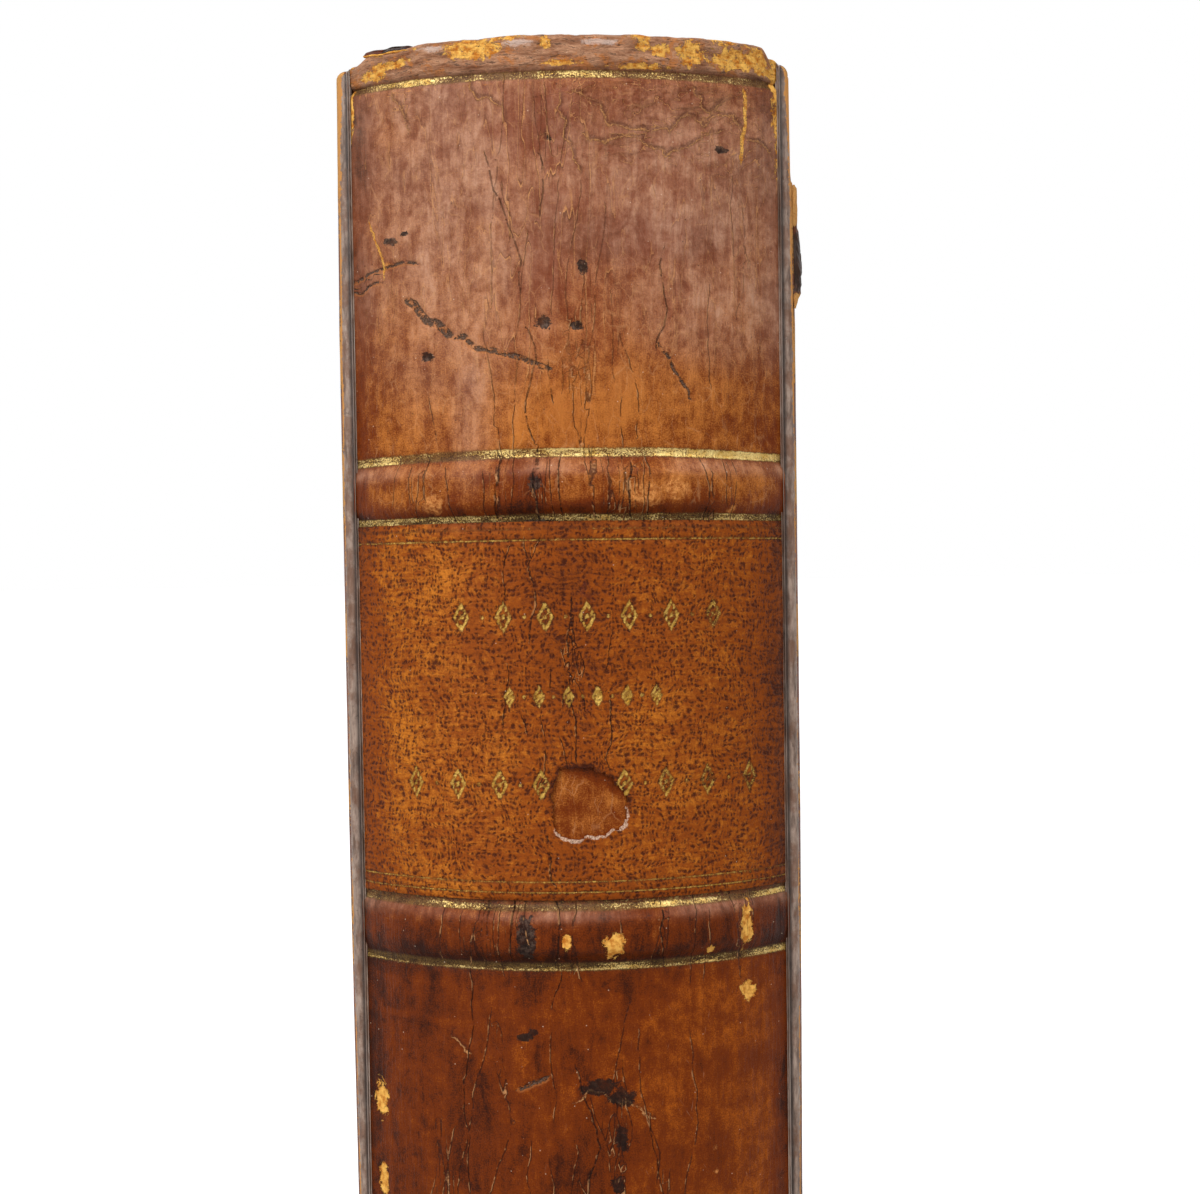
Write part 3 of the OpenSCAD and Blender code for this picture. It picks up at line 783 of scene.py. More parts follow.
def page_paper():
    """The leaves' edges, each leaf a little lighter or darker, with foxing and grime."""
    g = Graph("page_paper")
    at = g.place()
    leaf = g.field("leaf")
    along = g.noise(g.scaled(at, (1.0, 0.05, 0.05)), 0.25, 3.0, 0.6)
    cloud = g.noise(at, 26.0, 4.0, 0.6)
    g.skin = g.blend(g.add(g.times(leaf, 0.6), g.times(along, 0.4)), (172, 146, 104), (232, 216, 182))
    g.coat((150, 116, 72), g.step(cloud, 0.5, 0.75, 0.0, 0.5))
    foxing = g.times(g.fade(g.cells(at, 9.0), 0.02, 0.12), g.step(g.noise(at, 2.0, 3.0), 0.4, 0.6))
    g.coat((128, 84, 44), foxing, 0.5)
    grime = g.field("grime")
    g.coat((104, 82, 58), grime, g.step(cloud, 0.2, 0.7), 0.6)
    g.bump((along, 0.06), (leaf, 0.05))
    return g.finish(0.85, 0.25)


def endband_thread():
    """Silk in two colours, wound in turn."""
    g = Graph("endband_thread")
    at = g.place()
    thread = g.field("thread")
    fuzz = g.noise(at, 0.15, 3.0, 0.7)
    g.skin = g.blend(g.step(thread, 0.45, 0.55), (38, 74, 80), (178, 152, 102))
    g.coat((96, 92, 80), fuzz, 0.35)
    worn = g.step(g.noise(at, 2.5, 3.0), 0.55, 0.7)
    g.coat((122, 102, 72), worn, 0.6)
    g.bump((fuzz, 0.06))
    return g.finish(0.7, 0.3)


def marbled_paper():
    """Old endpaper of small marbled spots with veins between them."""
    g = Graph("marbled_paper")
    at = g.place()
    drift = g.stirred(at, at, 11.0, (9.0, 9.0, 9.0))
    drift = g.stirred(drift, at, 2.4, (2.4, 2.4, 2.4))
    grain = g.noise(at, 0.5, 4.0, 0.7)
    vein = g.add(g.cells(drift, 5.0, "DISTANCE_TO_EDGE"), g.swing(grain, 0.10))
    lot = g.split(g.cells(drift, 5.0, output="Color"))[0]
    small = g.add(g.cells(drift, 1.5), g.swing(grain, 0.5))
    g.skin = g.blend(g.step(lot, 0.3, 0.36), (116, 54, 40), (70, 80, 82))
    g.coat((160, 124, 78), g.step(lot, 0.66, 0.70))
    g.coat((196, 172, 130), g.step(small, 0.10, 0.30, 0.65, 0.0))
    g.coat((60, 42, 34), g.step(vein, 0.03, 0.13, 0.85, 0.0))
    age = g.noise(at, 18.0, 4.0, 0.6)
    g.coat((138, 108, 74), g.step(age, 0.4, 0.7, 0.1, 0.45))
    g.bump((g.noise(at, 0.4, 3.0), 0.03))
    return g.finish(0.55, 0.3)


def fibrous(name, dark, light, size, height):
    """Paper or board with visible fibres and stains."""
    g = Graph(name)
    at = g.place()
    fibre = g.noise(g.scaled(at, (1.0, 1.0, 0.25)), size, 5.0, 0.7, 0.6)
    cloud = g.noise(at, 14.0, 3.0)
    g.skin = g.blend(fibre, dark, light)
    g.coat(dark, g.step(cloud, 0.45, 0.75, 0.0, 0.4))
    fleck = g.step(g.cells(at, 1.7), 0.03, 0.1, 0.5, 0.0)
    g.coat((60, 44, 28), fleck)
    g.bump((fibre, height))
    return g.finish(0.85, 0.25)


THREAD_PITCH = 0.55


def linen():
    """Plain weave."""
    g = Graph("linen")
    x, _, z = g.split(g.place())
    weave = g.most(*(g.math("SINE", g.times(way, 2 * math.pi / THREAD_PITCH)) for way in (x, z)))
    g.skin = g.blend(g.step(weave, -0.6, 0.9), (112, 96, 66), (202, 186, 148))
    g.coat((146, 118, 74), g.step(g.noise(g.place(), 5.0), 0.5, 0.7, 0.0, 0.4))
    g.bump((weave, 0.08))
    return g.finish(0.9, 0.2)


def hemp_cord():
    """Twisted strands."""
    g = Graph("hemp_cord")
    at = g.place()
    x, y, z = g.split(at)
    twist = g.math("SINE", g.add(g.times(x, 5.0), g.times(z, 3.2), g.times(y, 3.2)))
    g.skin = g.blend(g.step(twist, -0.8, 0.8), (104, 82, 48), (196, 172, 124))
    g.coat((148, 124, 82), g.noise(at, 0.3, 4.0), 0.4)
    g.bump((twist, 0.12), (g.noise(at, 0.2), 0.05))
    return g.finish(0.9, 0.2)


# The spine's leather, by its place across and up when unrolled, in millimetres


def band_height(u):
    """How far a band stands over the panels: it dies away towards the joints."""
    phi = u / SPINE_R
    return BAND_SHIFT * np.cos(phi) + np.sqrt(BAND_R**2 - (BAND_SHIFT * np.sin(phi)) ** 2) - SPINE_R


def band_share(v):
    """1 on top of a band and 0 on the panels."""
    total = np.zeros_like(v)
    for z in BAND_ZS:
        t = np.abs(v - z)
        dome = (1 - smooth(t, BAND_TOP, BAND_FOOT)) * (1 - 0.05 * np.clip(t / BAND_TOP, 0, 1) ** 2)
        total = np.maximum(total, dome)
    return total


# Where age has cracked the skin: seed, count, across, up, length, width and wander
AGE_CRACKS = [
    *age_cracks(1, 16, (-9, 5), (205, 236), (5, 22), (0.04, 0.08), 0.14),
    *age_cracks(2, 10, (-20, 22), (198, 234), (3, 12), (0.03, 0.06), 0.16),
    *age_cracks(3, 24, (-20, 22), (193, 196), (3, 8), (0.04, 0.10), 0.10),
    *age_cracks(4, 24, (-20, 22), (145, 148), (3, 8), (0.04, 0.10), 0.10),
    *age_cracks(5, 26, (-18, 20), (104, 139), (8, 30), (0.03, 0.08), 0.16),
    *age_cracks(6, 40, (-20, 21), (12, 95), (6, 24), (0.03, 0.08), 0.16),
]

# The lines on the spine, under the names of the fields that hold them
SPINE_LINES = {
    "crack": AGE_CRACKS,
    "fray": traced(FLAKE_EDGES, 6, 0.16),
    "split": traced(DARK_CRACKS, 4, 0.06),
    "gouge": traced(GOUGES, 3, 0.06),
    "scratch": traced(RAW_SCRATCHES, 6, 0.05),
}

# Gilt lines: height, width and how much gold is left, at the left and at the right
GILT_LINES = [
    (235.65, 0.80, 0.44, 0.44),
    (195.70, 0.90, 0.44, 0.64),
    (188.75, 0.75, 0.52, 0.40),
    (147.45, 0.16, 0.60, 0.62),
    (146.85, 0.60, 0.34, 0.46),
    (140.45, 0.55, 0.28, 0.36),
    (140.00, 0.14, 0.56, 0.60),
    (99.75, 0.75, 0.42, 0.54),
    (92.25, 0.65, 0.42, 0.40),
    (51.75, 0.75, 0.42, 0.50),
    (44.25, 0.65, 0.40, 0.38),
    (4.35, 0.55, 0.40, 0.38),
]
LABEL_LINES = [
    (187.65, 0.14, 0.26, 0.52),
    (186.45, 0.20, 0.44, 0.70),
    (149.55, 0.18, 0.46, 0.62),
    (148.45, 0.14, 0.40, 0.54),
]
# How light the ground is: height and tone. The dips at each band's lower side are painted shade.
GROUND = [
    (0, 0.36), (6, 0.34), (44, 0.37), (46, 0.24), (50, 0.36), (92, 0.37), (94, 0.26), (98, 0.39), (120, 0.42),
    (136, 0.42), (140, 0.31), (142, 0.34), (146, 0.42), (150, 0.52), (186, 0.52), (189, 0.40), (191, 0.48),
    (195, 0.62), (197, 0.64), (208, 0.66), (222, 0.58), (236, 0.54), (240, 0.6),
]


def gilt_field(u, v, lines):
    """Distance outside the gilt lines, and how much gold is left at each point."""
    away = np.full(u.shape, FAR)
    shine = np.zeros_like(u)
    for z, width, left, right in lines:
        d = np.abs(v - z - 0.05 * waves(u, v, 6.0, 5)) - width / 2
        closer = d < away
        away = np.where(closer, d, away)
        shine = np.where(closer, left + (right - left) * smooth(u, -18, 12), shine)
    return away, shine + 0.14 * waves(u, v, 5.0, 8)


def spine_relief(u, v):
    """How far the outer face of the spine's leather stands over its plain cylinder."""
    band = band_share(v)
    relief = band_height(u) * band * (1 - 0.04 * np.abs(rough(u, v, 5.0, 21)))
    under_label = smooth(v, 146.5, 147.6) * smooth(-v, -189.4, -188.4)
    free = 1 - under_label
    sag = 0.16 * rough(u, v, 17.0, 31) + 0.06 * rough(u, v, 3.2, 41) + 0.07 * rough(u, v * 0.15, 2.4, 42)
    relief = relief + sag * free * (1 - band) * smooth(24.5 - np.abs(u), 0, 4)
    away, _ = gilt_field(u, v, GILT_LINES)
    relief = relief - 0.12 * (1 - smooth(away, -0.1, 0.3))
    for z in (CREASE_Z - 0.15, BOOK_H - CREASE_Z + 0.15):
        relief = relief - 0.34 * (1 - smooth(np.abs(v - z), 0, 0.9))
    gouges = line_depth(line_field(u, v, SPINE_LINES["gouge"]))
    relief = relief - 0.30 * gouges * (0.6 + 0.6 * rough(u, v, 0.9, 51))
    for name, depth in (("split", 0.08), ("crack", 0.05)):
        relief = relief - depth * line_depth(line_field(u, v, SPINE_LINES[name]), 0.35)
    for spots, depth in ((PITS, 0.30), (RAW_CHIPS, 0.12)):
        relief = relief - depth * ovals(u, v, spots, 0.5)
    frayed = line_field(u, v, traced(FLAKE_EDGES, 6))
    lifted = smooth(frayed[..., 0], -0.2, 0.3) * (1 - smooth(frayed[..., 1], 0.3, 1.4))
    relief = relief + 0.10 * lifted * free
    wrinkle = 0.10 * rough(u, v, 2.2, 61, 4) + 0.05 * rough(u * 2.5, v, 1.5, 71)
    return relief + smooth(v, 235.9, 236.8) * (wrinkle - 0.12)


def cap_drop(u):
    """How much lower the headcap sits towards its torn ends."""
    left = 0.45 * smooth(-u, 16.0, 20.0) + 0.9 * smooth(-u, 23.0, 25.6)
    right = 1.2 * smooth(u, 24.0, 25.2)
    return left + right + 0.05 * (1 + waves(u, u * 0, 2.6, 81)) + 0.04 * (1 + waves(u, u * 0, 0.9, 82))


def droop(u, v):
    """How far the leather round the top band has sunk towards the joints."""
    return np.interp(v, [165, 187, 196, 216], [0, 0.42, 0.80, 0]) * (u / 24) ** 2


def spine_section():
    """The leather's closed section: radius, height, distance up the skin, and 1 where it is the outside."""
    arc = np.linspace(0, math.pi / 2, 7)
    bend_r, end_r = SPINE_R - CAP_R, SPINE_R - CAP_REACH
    dip, skin_turn = CAP_LIP / 4, 0.46

    def fall(t):
        return dip * (t / (CAP_REACH - CAP_R)) ** 2

    outside = [(end_r, dip, -2.2)]
    outside += [(bend_r - t, fall(t), -skin_turn - t) for t in (1.6, 0.8)]
    for a in arc:
        height = CAP_R - CAP_R * math.cos(a)
        outside.append((bend_r + CAP_R * math.sin(a), height, CAP_R - CAP_R * (math.pi / 2 - a)))
    outside += [(SPINE_R, z, z) for z in np.linspace(CAP_R, BOOK_H - CAP_R, 597)[1:-1]]
    for a in arc:
        height = BOOK_H - CAP_R + CAP_R * math.sin(a)
        outside.append((bend_r + CAP_R * math.cos(a), height, BOOK_H - CAP_R + CAP_R * a))
    outside += [(bend_r - t, BOOK_H - fall(t), BOOK_H + skin_turn + t) for t in (0.4, 0.8, 1.2, 1.6, 2.0)]
    outside += [(end_r, BOOK_H - dip, BOOK_H + 2.86)]
    steps = [(end_r, CAP_LIP), (CAP_FILL_R, CAP_LIP), (CAP_FILL_R, LEAF_Z - 0.05), (INNER_R, LEAF_Z - 0.05)]
    inside = [(r, BOOK_H - z) for r, z in steps]
    for z in reversed(BAND_ZS):
        rises = (STRIP_HALF + 0.01, STRIP_HALF, 0, -STRIP_HALF, -STRIP_HALF - 0.01)
        inside += [(INNER_R, z + rise) for rise in rises]
    inside += reversed(steps)
    return np.array([(*p, 1.0) for p in outside] + [(r, z, z, 0.0) for r, z in inside])


def normals_of(section):
    """Outward directions of a closed section that runs up its outside."""
    ahead, behind = np.roll(section, -1, 0), np.roll(section, 1, 0)
    way = ahead[:, :2] - behind[:, :2]
    way = way / np.maximum(np.hypot(way[:, 0], way[:, 1]), 1e-9)[:, None]
    return np.stack([way[:, 1], -way[:, 0]], -1)


def spine_points(columns=129):
    """The skin's grid of points, its places across and up, and 1 where it is the outside."""
    section = spine_section()
    outward = normals_of(section)
    r0, z0, v0, outer = section.T
    flat_angle = np.arccos(SPINE_FOOT / r0)
    end = spine_relief(SPINE_R * flat_angle, v0) * outer * outward[:, 0]
    half = np.arccos(np.clip(SPINE_FOOT / (r0 + end), -1, 1))
    phi = np.linspace(-1, 1, columns)[:, None] * half[None, :]
    u = SPINE_R * phi
    v = np.broadcast_to(v0, u.shape)
    relief = spine_relief(u, v) * outer
    r = r0 + relief * outward[:, 0]
    z = z0 + relief * outward[:, 1] * (v0 > BOOK_H / 2)
    recess = np.zeros_like(u)
    for band in BAND_ZS:
        inside = (outer == 0) & (np.abs(z0 - band) <= STRIP_HALF)
        recess = np.where(inside[None, :] & (np.abs(phi) < STRIP_ANGLE), band_height(u), recess)
    r = r + recess
    z = z - cap_drop(u) * smooth(z0, 234.5, 240) - droop(u, v) * outer
    points = on_arc(r, phi, np.clip(z, 0, BOOK_H))
    points[[0, -1], :, 1] = JOINT_Y
    return points, u, v, np.broadcast_to(outer, u.shape)


def sector(r0, r1, z0, z1, angle, steps=40):
    """A closed piece of a ring round the spine's axis."""
    phi = np.linspace(-angle, angle, steps)[:, None]
    radius = np.array([[r0, r1, r1, r0]])
    height = np.broadcast_to(np.array([[z0, z0, z1, z1]]), (steps, 4))
    return loop_sweep(on_arc(radius, phi, height))


def patch_edge(angle):
    """Radius of the worn-off patch in a direction: straight at the left and foot, cut away upper right."""
    turns = np.radians([-180, -150, -135, -90, -60, -35, 0, 25, 50, 90, 130, 150, 180])
    radii = [3.9, 4.3, 5.0, 3.8, 4.0, 4.6, 4.2, 3.8, 3.5, 3.7, 4.6, 4.3, 3.9]
    wave = 0.12 * np.sin(9 * angle) + 0.08 * np.sin(17 * angle + 1) + 0.05 * np.sin(31 * angle)
    return 0.97 * np.interp(angle, turns, radii) + wave


def patch_distance(u, v):
    """Distance outside the worn-off patch, less than 0 in it."""
    du, dv = u - PATCH_X, v - PATCH_Z
    return np.hypot(du, dv) - patch_edge(np.arctan2(dv, du))


def spine_fields(u, v, outer):
    """What the spine's material needs at each point: tone with painted shade, painted sheen, wear, gilding
    and the nearest lines.
    """
    away, shine = gilt_field(u, v, GILT_LINES)
    heights, tones = zip(*GROUND)
    tone = np.interp(v, heights, tones)
    # Darker towards the joints: painted shade. The warm ovals are the skin's own colour.
    tone = tone - 0.18 * smooth(np.abs(u), 22.0, 25.5) + 0.20 * ovals(u, v, WARM, 0.9)
    tone = tone + (0.16 * smooth(u, 0, 16) - 0.05 * smooth(-u, 4, 16)) * smooth(-v, -146, -138)
    # A dark line in the crease at the headcap's foot: painted shade
    tone = tone - 0.55 * bell(v, BOOK_H - CREASE_Z + 0.6, 0.22)
    # Each band: darker at its feet and on its lower half as painted shade, and a painted highlight (bloom)
    # along its upper side
    bloom = 0
    for z in BAND_ZS:
        tone = tone - 0.20 * bell(np.abs(v - z), BAND_FOOT, 0.5)
        tone = tone - 0.16 * smooth(z - v, 0.6, 2.6) * (z - v < 3.6)
        bloom = bloom + 0.9 * bell(v, z + 2.3, 0.8) * (0.6 + 0.7 * waves(u, v * 0, 5.0, 94))
    # The worn patch darkens towards its upper right: painted shadow under the label's torn edge
    patch = 1 - smooth(patch_distance(u, v), 0, 0.5)
    tone = tone + patch * (0.06 - 0.35 * smooth(v - PATCH_Z + 0.5 * (u - PATCH_X), 1.6, 3.6))
    raw = ovals(u, v, RAW_CHIPS)
    edge = smooth(np.abs(u), 24.2, 25.6) * smooth(v, 205, 238)
    raw = np.maximum(raw, 0.75 * edge * (0.6 + 0.6 * waves(u, v, 7.0, 91)))
    raw = np.maximum(raw, 0.55 * smooth(v, 238.4, 239.6) * (0.5 + 0.7 * waves(u, v, 3.0, 92)))
    return {
        "flat": np.stack([u, v, 0 * u], -1),
        "tone": tone,
        "red": ovals(u, v, RED, 0.9),
        # Painted sheen: the sheen ovals, the bands' painted highlight, and more painted sheen up the upper
        # panel
        "haze": np.clip(ovals(u, v, PAINTED_SHEEN_OVALS) + bloom + 0.30 * smooth(v, 198, 214), 0, 1),
        "smudge": ovals(u, v, SMUDGES),
        "rich": smooth(-v, -146, -138),
        "flake": np.maximum(smooth(v, 199, 206) * bell(u, -2, 9), 0.45 * smooth(v, 198, 210)) * outer,
        "scale": np.clip(1.6 * ovals(u, v, SCALES), 0, 1),
        "cap": smooth(v, 236.0, 236.6) * outer,
        "dark": ovals(u, v, DARK_SPOTS),
        "raw": raw * outer,
        # Pale rubs, with a painted highlight line under the head gilt line
        "pale": np.maximum(ovals(u, v, PALE_RUBS_AND_HIGHLIGHTS), 0.55 * bell(v, 234.9, 0.16)),
        "gilt": away + FAR * (1 - outer),
        "shine": shine,
        **{name: line_field(u, v, lines) for name, lines in SPINE_LINES.items()},
    }


def flattened(fields):
    """Fields on a grid as one row of values or vectors each."""
    return {k: (a.reshape(-1, 3) if a.ndim == 3 else a.ravel()) for k, a in fields.items()}


def make_spine_leather(material):
    """The spine's skin with the two turn-ins that go down inside the tube."""
    points, u, v, outer = spine_points()
    fields = flattened(spine_fields(u, v, outer))
    flap = [FLAP_R, FLAP_R + FLAP_T]
    shell = loop_sweep(points)
    head = sector(*flap, LEAF_TOP - 12, LEAF_TOP + 1.75, FLAP_ANGLE)
    tail = sector(*flap, LEAF_Z - 1.75, LEAF_Z + 12, FLAP_ANGLE)
    extra = len(head[0]) + len(tail[0])
    for name, values in fields.items():
        rest = np.zeros((extra, *values.shape[1:]))
        if name in ("gilt", *SPINE_LINES):
            rest = rest + FAR
        if name == "flat":
            rest = np.concatenate([head[0], tail[0]])[:, [0, 2, 1]]
        if name == "tone":
            rest = rest + 0.5
        fields[name] = np.concatenate([values, rest])
    made = piece("spine_calf_cover", *together(shell, head, tail), material, "spine_calf", fields, 50)
    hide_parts("spine_leather")
    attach(made, "book_block")


def make_headcap_flap(material):
    """The loose sliver of leather and lining that stands up at the headcap's torn left end."""
    u0, u1 = on_spine(362, 56)[0], on_spine(414, 44)[0]
    t = np.linspace(0, 1, 60)[:, None]
    s = np.linspace(0, 1, 9)[None, :]
    u = u0 + (u1 - u0) * t + 0 * s
    v = 0 * t + 0 * s
    lift = 0.62 * np.sin(math.pi * np.clip(t * 0.9 + 0.1, 0, 1)) ** 0.5
    top_z = BOOK_H - 0.02 - 0.5 * smooth(t, 0.75, 1.0)
    top_z = top_z - 0.15 * (1 + waves(u, v, 1.4, 95)) * smooth(1 - t, 0.0, 0.3)
    z = top_z - (1 - s) * (0.35 + lift * 0.6)
    r = SPINE_R - 0.15 - 1.1 * s * (0.5 + 0.5 * t) + 0.12 * waves(u, s * 4 + v, 1.0, 96)
    phi = u / SPINE_R
    points, faces = slab(on_arc(r, phi, z + 0 * s), on_arc(r - 0.28, phi, z - 0.12))
    full_u, full_t, full_s = (np.tile((a + 0 * t + 0 * s).ravel(), 2) for a in (u, t, s))
    zero = 0 * full_u
    nowhere = np.full((len(full_u), 3), FAR)
    fields = {
        **dict.fromkeys(("red", "haze", "cap", "flake", "scale", "smudge", "shine", "rich"), zero),
        **dict.fromkeys(SPINE_LINES, nowhere),
        "flat": np.stack([full_u, 250 + full_s, zero], -1),
        "tone": zero + 0.15,
        "dark": 0.2 + 0.75 * smooth(full_t, 0.25, 0.45) * (1 - smooth(full_t, 0.62, 0.8)),
        "raw": 0.85 * (1 - smooth(full_s, 0.05, 0.35)) + 0.8 * smooth(full_t, 0.85, 1.0),
        "pale": 0.3 * (1 - smooth(full_t, 0.0, 0.3)),
        "gilt": zero + FAR,
    }
    made = piece("headcap_flap", points, faces, material, "spine_calf", fields)
    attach(made, "book_block")


# The lettering-piece, bare of words: rows of lozenges and dots stand in the title's place

# Rows of stamps in the photo's pixels: height of the row's middle, left end, right end, count, stamp height
STAMP_ROWS = [(616, 462, 712, 7, 34), (696, 510, 656, 6, 22), (784, 418, 748, 9, 34)]


def stamps(u, v):
    """Distance outside the gilt stamps: open lozenges with dots between them."""
    away = np.full(u.shape, FAR)
    for py, x0, x1, count, tall in STAMP_ROWS:
        half_v = tall / PX_PER_MM / 2
        half_u = 0.55 * half_v
        scale = half_u * half_v / math.hypot(half_u, half_v)
        cv = on_spine(PHOTO_W / 2, py)[1]
        for k in range(count):
            cu = on_spine(x0 + (x1 - x0) * k / (count - 1), py)[0]
            lozenge = np.abs(u - cu) / half_u + np.abs(v - cv) / half_v
            ring = np.abs(lozenge - 0.78) * scale - 0.16
            dot = np.hypot(u - cu, v - cv) - 0.26
            away = np.minimum(away, np.minimum(ring, dot))
            if k < count - 1:
                nu = on_spine(x0 + (x1 - x0) * (k + 0.5) / (count - 1), py)[0]
                away = np.minimum(away, np.hypot(u - nu, v - cv) - 0.22)
    return away


def make_lettering_piece(material):
    """The pasted leather, with its worn patch cut through."""
    end = SPINE_R * math.acos((SPINE_FOOT + 0.5) / (SPINE_R + 0.2))
    u, v = np.meshgrid(np.linspace(-end, end, 181), np.linspace(LABEL_Z0, LABEL_Z1, 143))
    du, dv = u - PATCH_X, v - PATCH_Z
    angle = np.arctan2(dv, du)
    near = np.abs(patch_distance(u, v)) < 0.16
    u = np.where(near, PATCH_X + patch_edge(angle) * np.cos(angle), u)
    v = np.where(near, PATCH_Z + patch_edge(angle) * np.sin(angle), v)
    away = patch_distance(u, v)
    corner = away > -0.01
    keep = corner[:-1, :-1] & corner[:-1, 1:] & corner[1:, 1:] & corner[1:, :-1]
    lines, line_shine = gilt_field(u, v, LABEL_LINES)
    marks = stamps(u, v)
    gilt = np.minimum(lines, marks)
    mark_shine = 0.86 + 0.16 * waves(u, v, 5.0, 15) - 0.25 * smooth(u, 4, 18)
    shine = np.where(lines < marks, line_shine + 0.2, mark_shine)
    rim = 1 - smooth(away, 0.0, 0.55 + 0.3 * waves(u, v, 1.5, 16))
    torn = rim * smooth(-dv + 0.3 * du, 1.2, 2.4)
    shade = (1 - smooth(away, 0.0, 0.9)) * smooth(dv + 0.6 * np.abs(du), 0.8, 3.0)
    ends = smooth(np.abs(u), end - 1.2, end)
    hem = 1 - smooth(np.minimum(v - LABEL_Z0, LABEL_Z1 - v), 0, 0.8)
    fine = age_cracks(8, 12, (-7, 5), (158, 187), (2, 9), (0.03, 0.06), 0.2)
    crack = line_field(u, v, traced(LABEL_CRACKS, 7, 0.08) + fine)
    relief = -0.11 * (1 - smooth(gilt, -0.1, 0.12)) - 0.20 * np.maximum(ends, hem)
    relief = relief + 0.05 * rough(u, v, 6.0, 17)
    relief = relief - 0.08 * line_depth(crack) + 0.10 * torn * waves(u, v, 0.8, 18) - 0.06
    # Darker towards both ends and along the top and bottom edges: painted shade
    tone = 0.56 - 0.28 * smooth(np.abs(u), 20, 25.5) - 0.12 * hem - 0.16 * bell(u, -1, 5)
    tone = tone - 0.04 * smooth(u, 8, 22) + 0.06 * smooth(-v, -175, -160) + 0.06 * smooth(-u, 6, 16)
    tone = tone - 0.45 * shade + 0.10 * rough(u, v, 9.0, 20)
    phi, z = u / SPINE_R, v - droop(u, v)
    points, faces = slab(on_arc(LABEL_R1 + relief, phi, z), on_arc(LABEL_R0 + 0 * u, phi, z), keep)
    fields = {
        "flat": np.stack([u, v, 0 * u], -1), "tone": tone, "gilt": gilt, "shine": shine, "torn": torn,
        "dark": 0.75 * bell(u, 0, 3.4) * smooth(v, 160, 172) * (0.6 + 0.6 * rough(u, v, 3.0, 19)),
        "crack": crack,
    }
    fields = {k: np.concatenate([a, a]) for k, a in flattened(fields).items()}
    made = piece("lettering_skin", points, faces, material, "label_leather", fields, 60)
    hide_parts("lettering_piece")
    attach(made, "book_block")


# The boards' leather

# How far the torn flake stands out from the board: height and reach
FLAKE_OUT = [
    (211.4, 0.0), (212.4, 0.3), (213.2, 0.7), (215.6, 0.92),
    (218.8, 0.78), (220, 0.42), (224.4, 0.33), (225, 0),
]
# The outline of what is torn off at the front board's head, by the joint: depth below the head and width
TORN_ZS, TORN_YS = [-15, -14, -11.5, -7, -4, 0], [0, 2.5, 5, 6.5, 5, 3.2]


def edge_steps(length, radius, fine, fine_step, step):
    """Places from one rounded edge to the other, close together at the first."""
    turn = radius * (1 - np.cos(np.linspace(0, math.pi / 2, 6)))
    near = np.arange(radius, fine, fine_step)[1:]
    far = np.linspace(fine, length - radius, int((length - radius - fine) / step))
    return np.concatenate([turn, near, far, (length - turn)[:-1][::-1]])


def board_bow(z):
    """How far a board's face has sunk towards the leaves, most at its tail."""
    return 0.62 * (1 - smooth(z, 40, 160)) + 0.25 * smooth(z, 205, 240)


def torn_off(y, z, shake, low, high):
    """1 where the front board's leather is torn off at its head."""
    edge = np.interp(z - BOOK_H, TORN_ZS, TORN_YS) + shake
    return smooth(edge - y, low, high) * smooth(z, 225, 225.6)


def rounding(inset, radius):
    """How far a rounded edge falls back, by the distance inside the outline."""
    fall = radius - np.sqrt(np.maximum(radius**2 - (radius - inset) ** 2, 0))
    return np.where(inset < radius, fall, 0)


def board_form(front):
    """The covered board as a closed mesh on the +X side."""
    depth = BOARD_Y1 - BOARD_Y0
    ys = edge_steps(depth, EDGE_R, 9.0, 0.5, 1.7)
    zs = BOOK_H - edge_steps(BOOK_H, EDGE_R, 34.0, 0.6, 1.9)[::-1]
    y, z = np.meshgrid(ys, zs)
    corner = np.where(y < depth / 2, JOINT_CORNER_R, CORNER_R)
    ey, ez = np.minimum(y, depth - y), np.minimum(z, BOOK_H - z)
    inset = np.minimum(ey, ez)
    a, b = corner - ey, corner - ez
    in_corner = (a > 0) & (b > 0)
    share = np.where(in_corner, np.maximum(a, b) / np.maximum(np.hypot(a, b), 1e-9), 1)
    new_a, new_b = a * share, b * share
    y2 = np.where(in_corner, np.where(y < depth / 2, corner - new_a, depth - corner + new_a), y)
    z2 = np.where(in_corner, np.where(z < BOOK_H / 2, corner - new_b, BOOK_H - corner + new_b), z)
    cut = BACK_CUT_H * np.clip(1 - y2 / BACK_CUT_L, 0, 1)
    z2 = cut + z2 * (BOOK_H - 2 * cut) / BOOK_H
    bow = board_bow(z2) + 0.06 * (0.5 + 0.5 * rough(y2, z2, 30.0, 101))
    dent = 0.05 * (0.5 + 0.5 * rough(y2, z2, 4.0, 111)) + 0.02 * (0.5 + 0.5 * rough(y2, z2, 1.2, 121))
    sink = bow + dent * smooth(inset, 0.0, 1.0)
    if front:
        loss = torn_off(y2, z2, 0.5 * waves(y2, z2, 1.6, 131), -0.3, 0.3)
        sink = sink + loss * (0.32 + 0.10 * waves(y2, z2, 0.9, 132))
    out = BOARD_X - rounding(inset, EDGE_R) - sink
    under = BOARD_IN_X + rounding(inset, INNER_EDGE_R)
    return slab(*(np.stack([x, BOARD_Y0 + y2, z2], -1) for x in (out, under)))


def box_points(x0, x1, y0, y1, z0, z1):
    corners = np.array([[x, y, z] for x in (x0, x1) for y in (y0, y1) for z in (z0, z1)], float)
    faces = [[0, 1, 3, 2], [4, 6, 7, 5], [0, 4, 5, 1], [2, 3, 7, 6], [0, 2, 6, 4], [1, 5, 7, 3]]
    return corners, faces


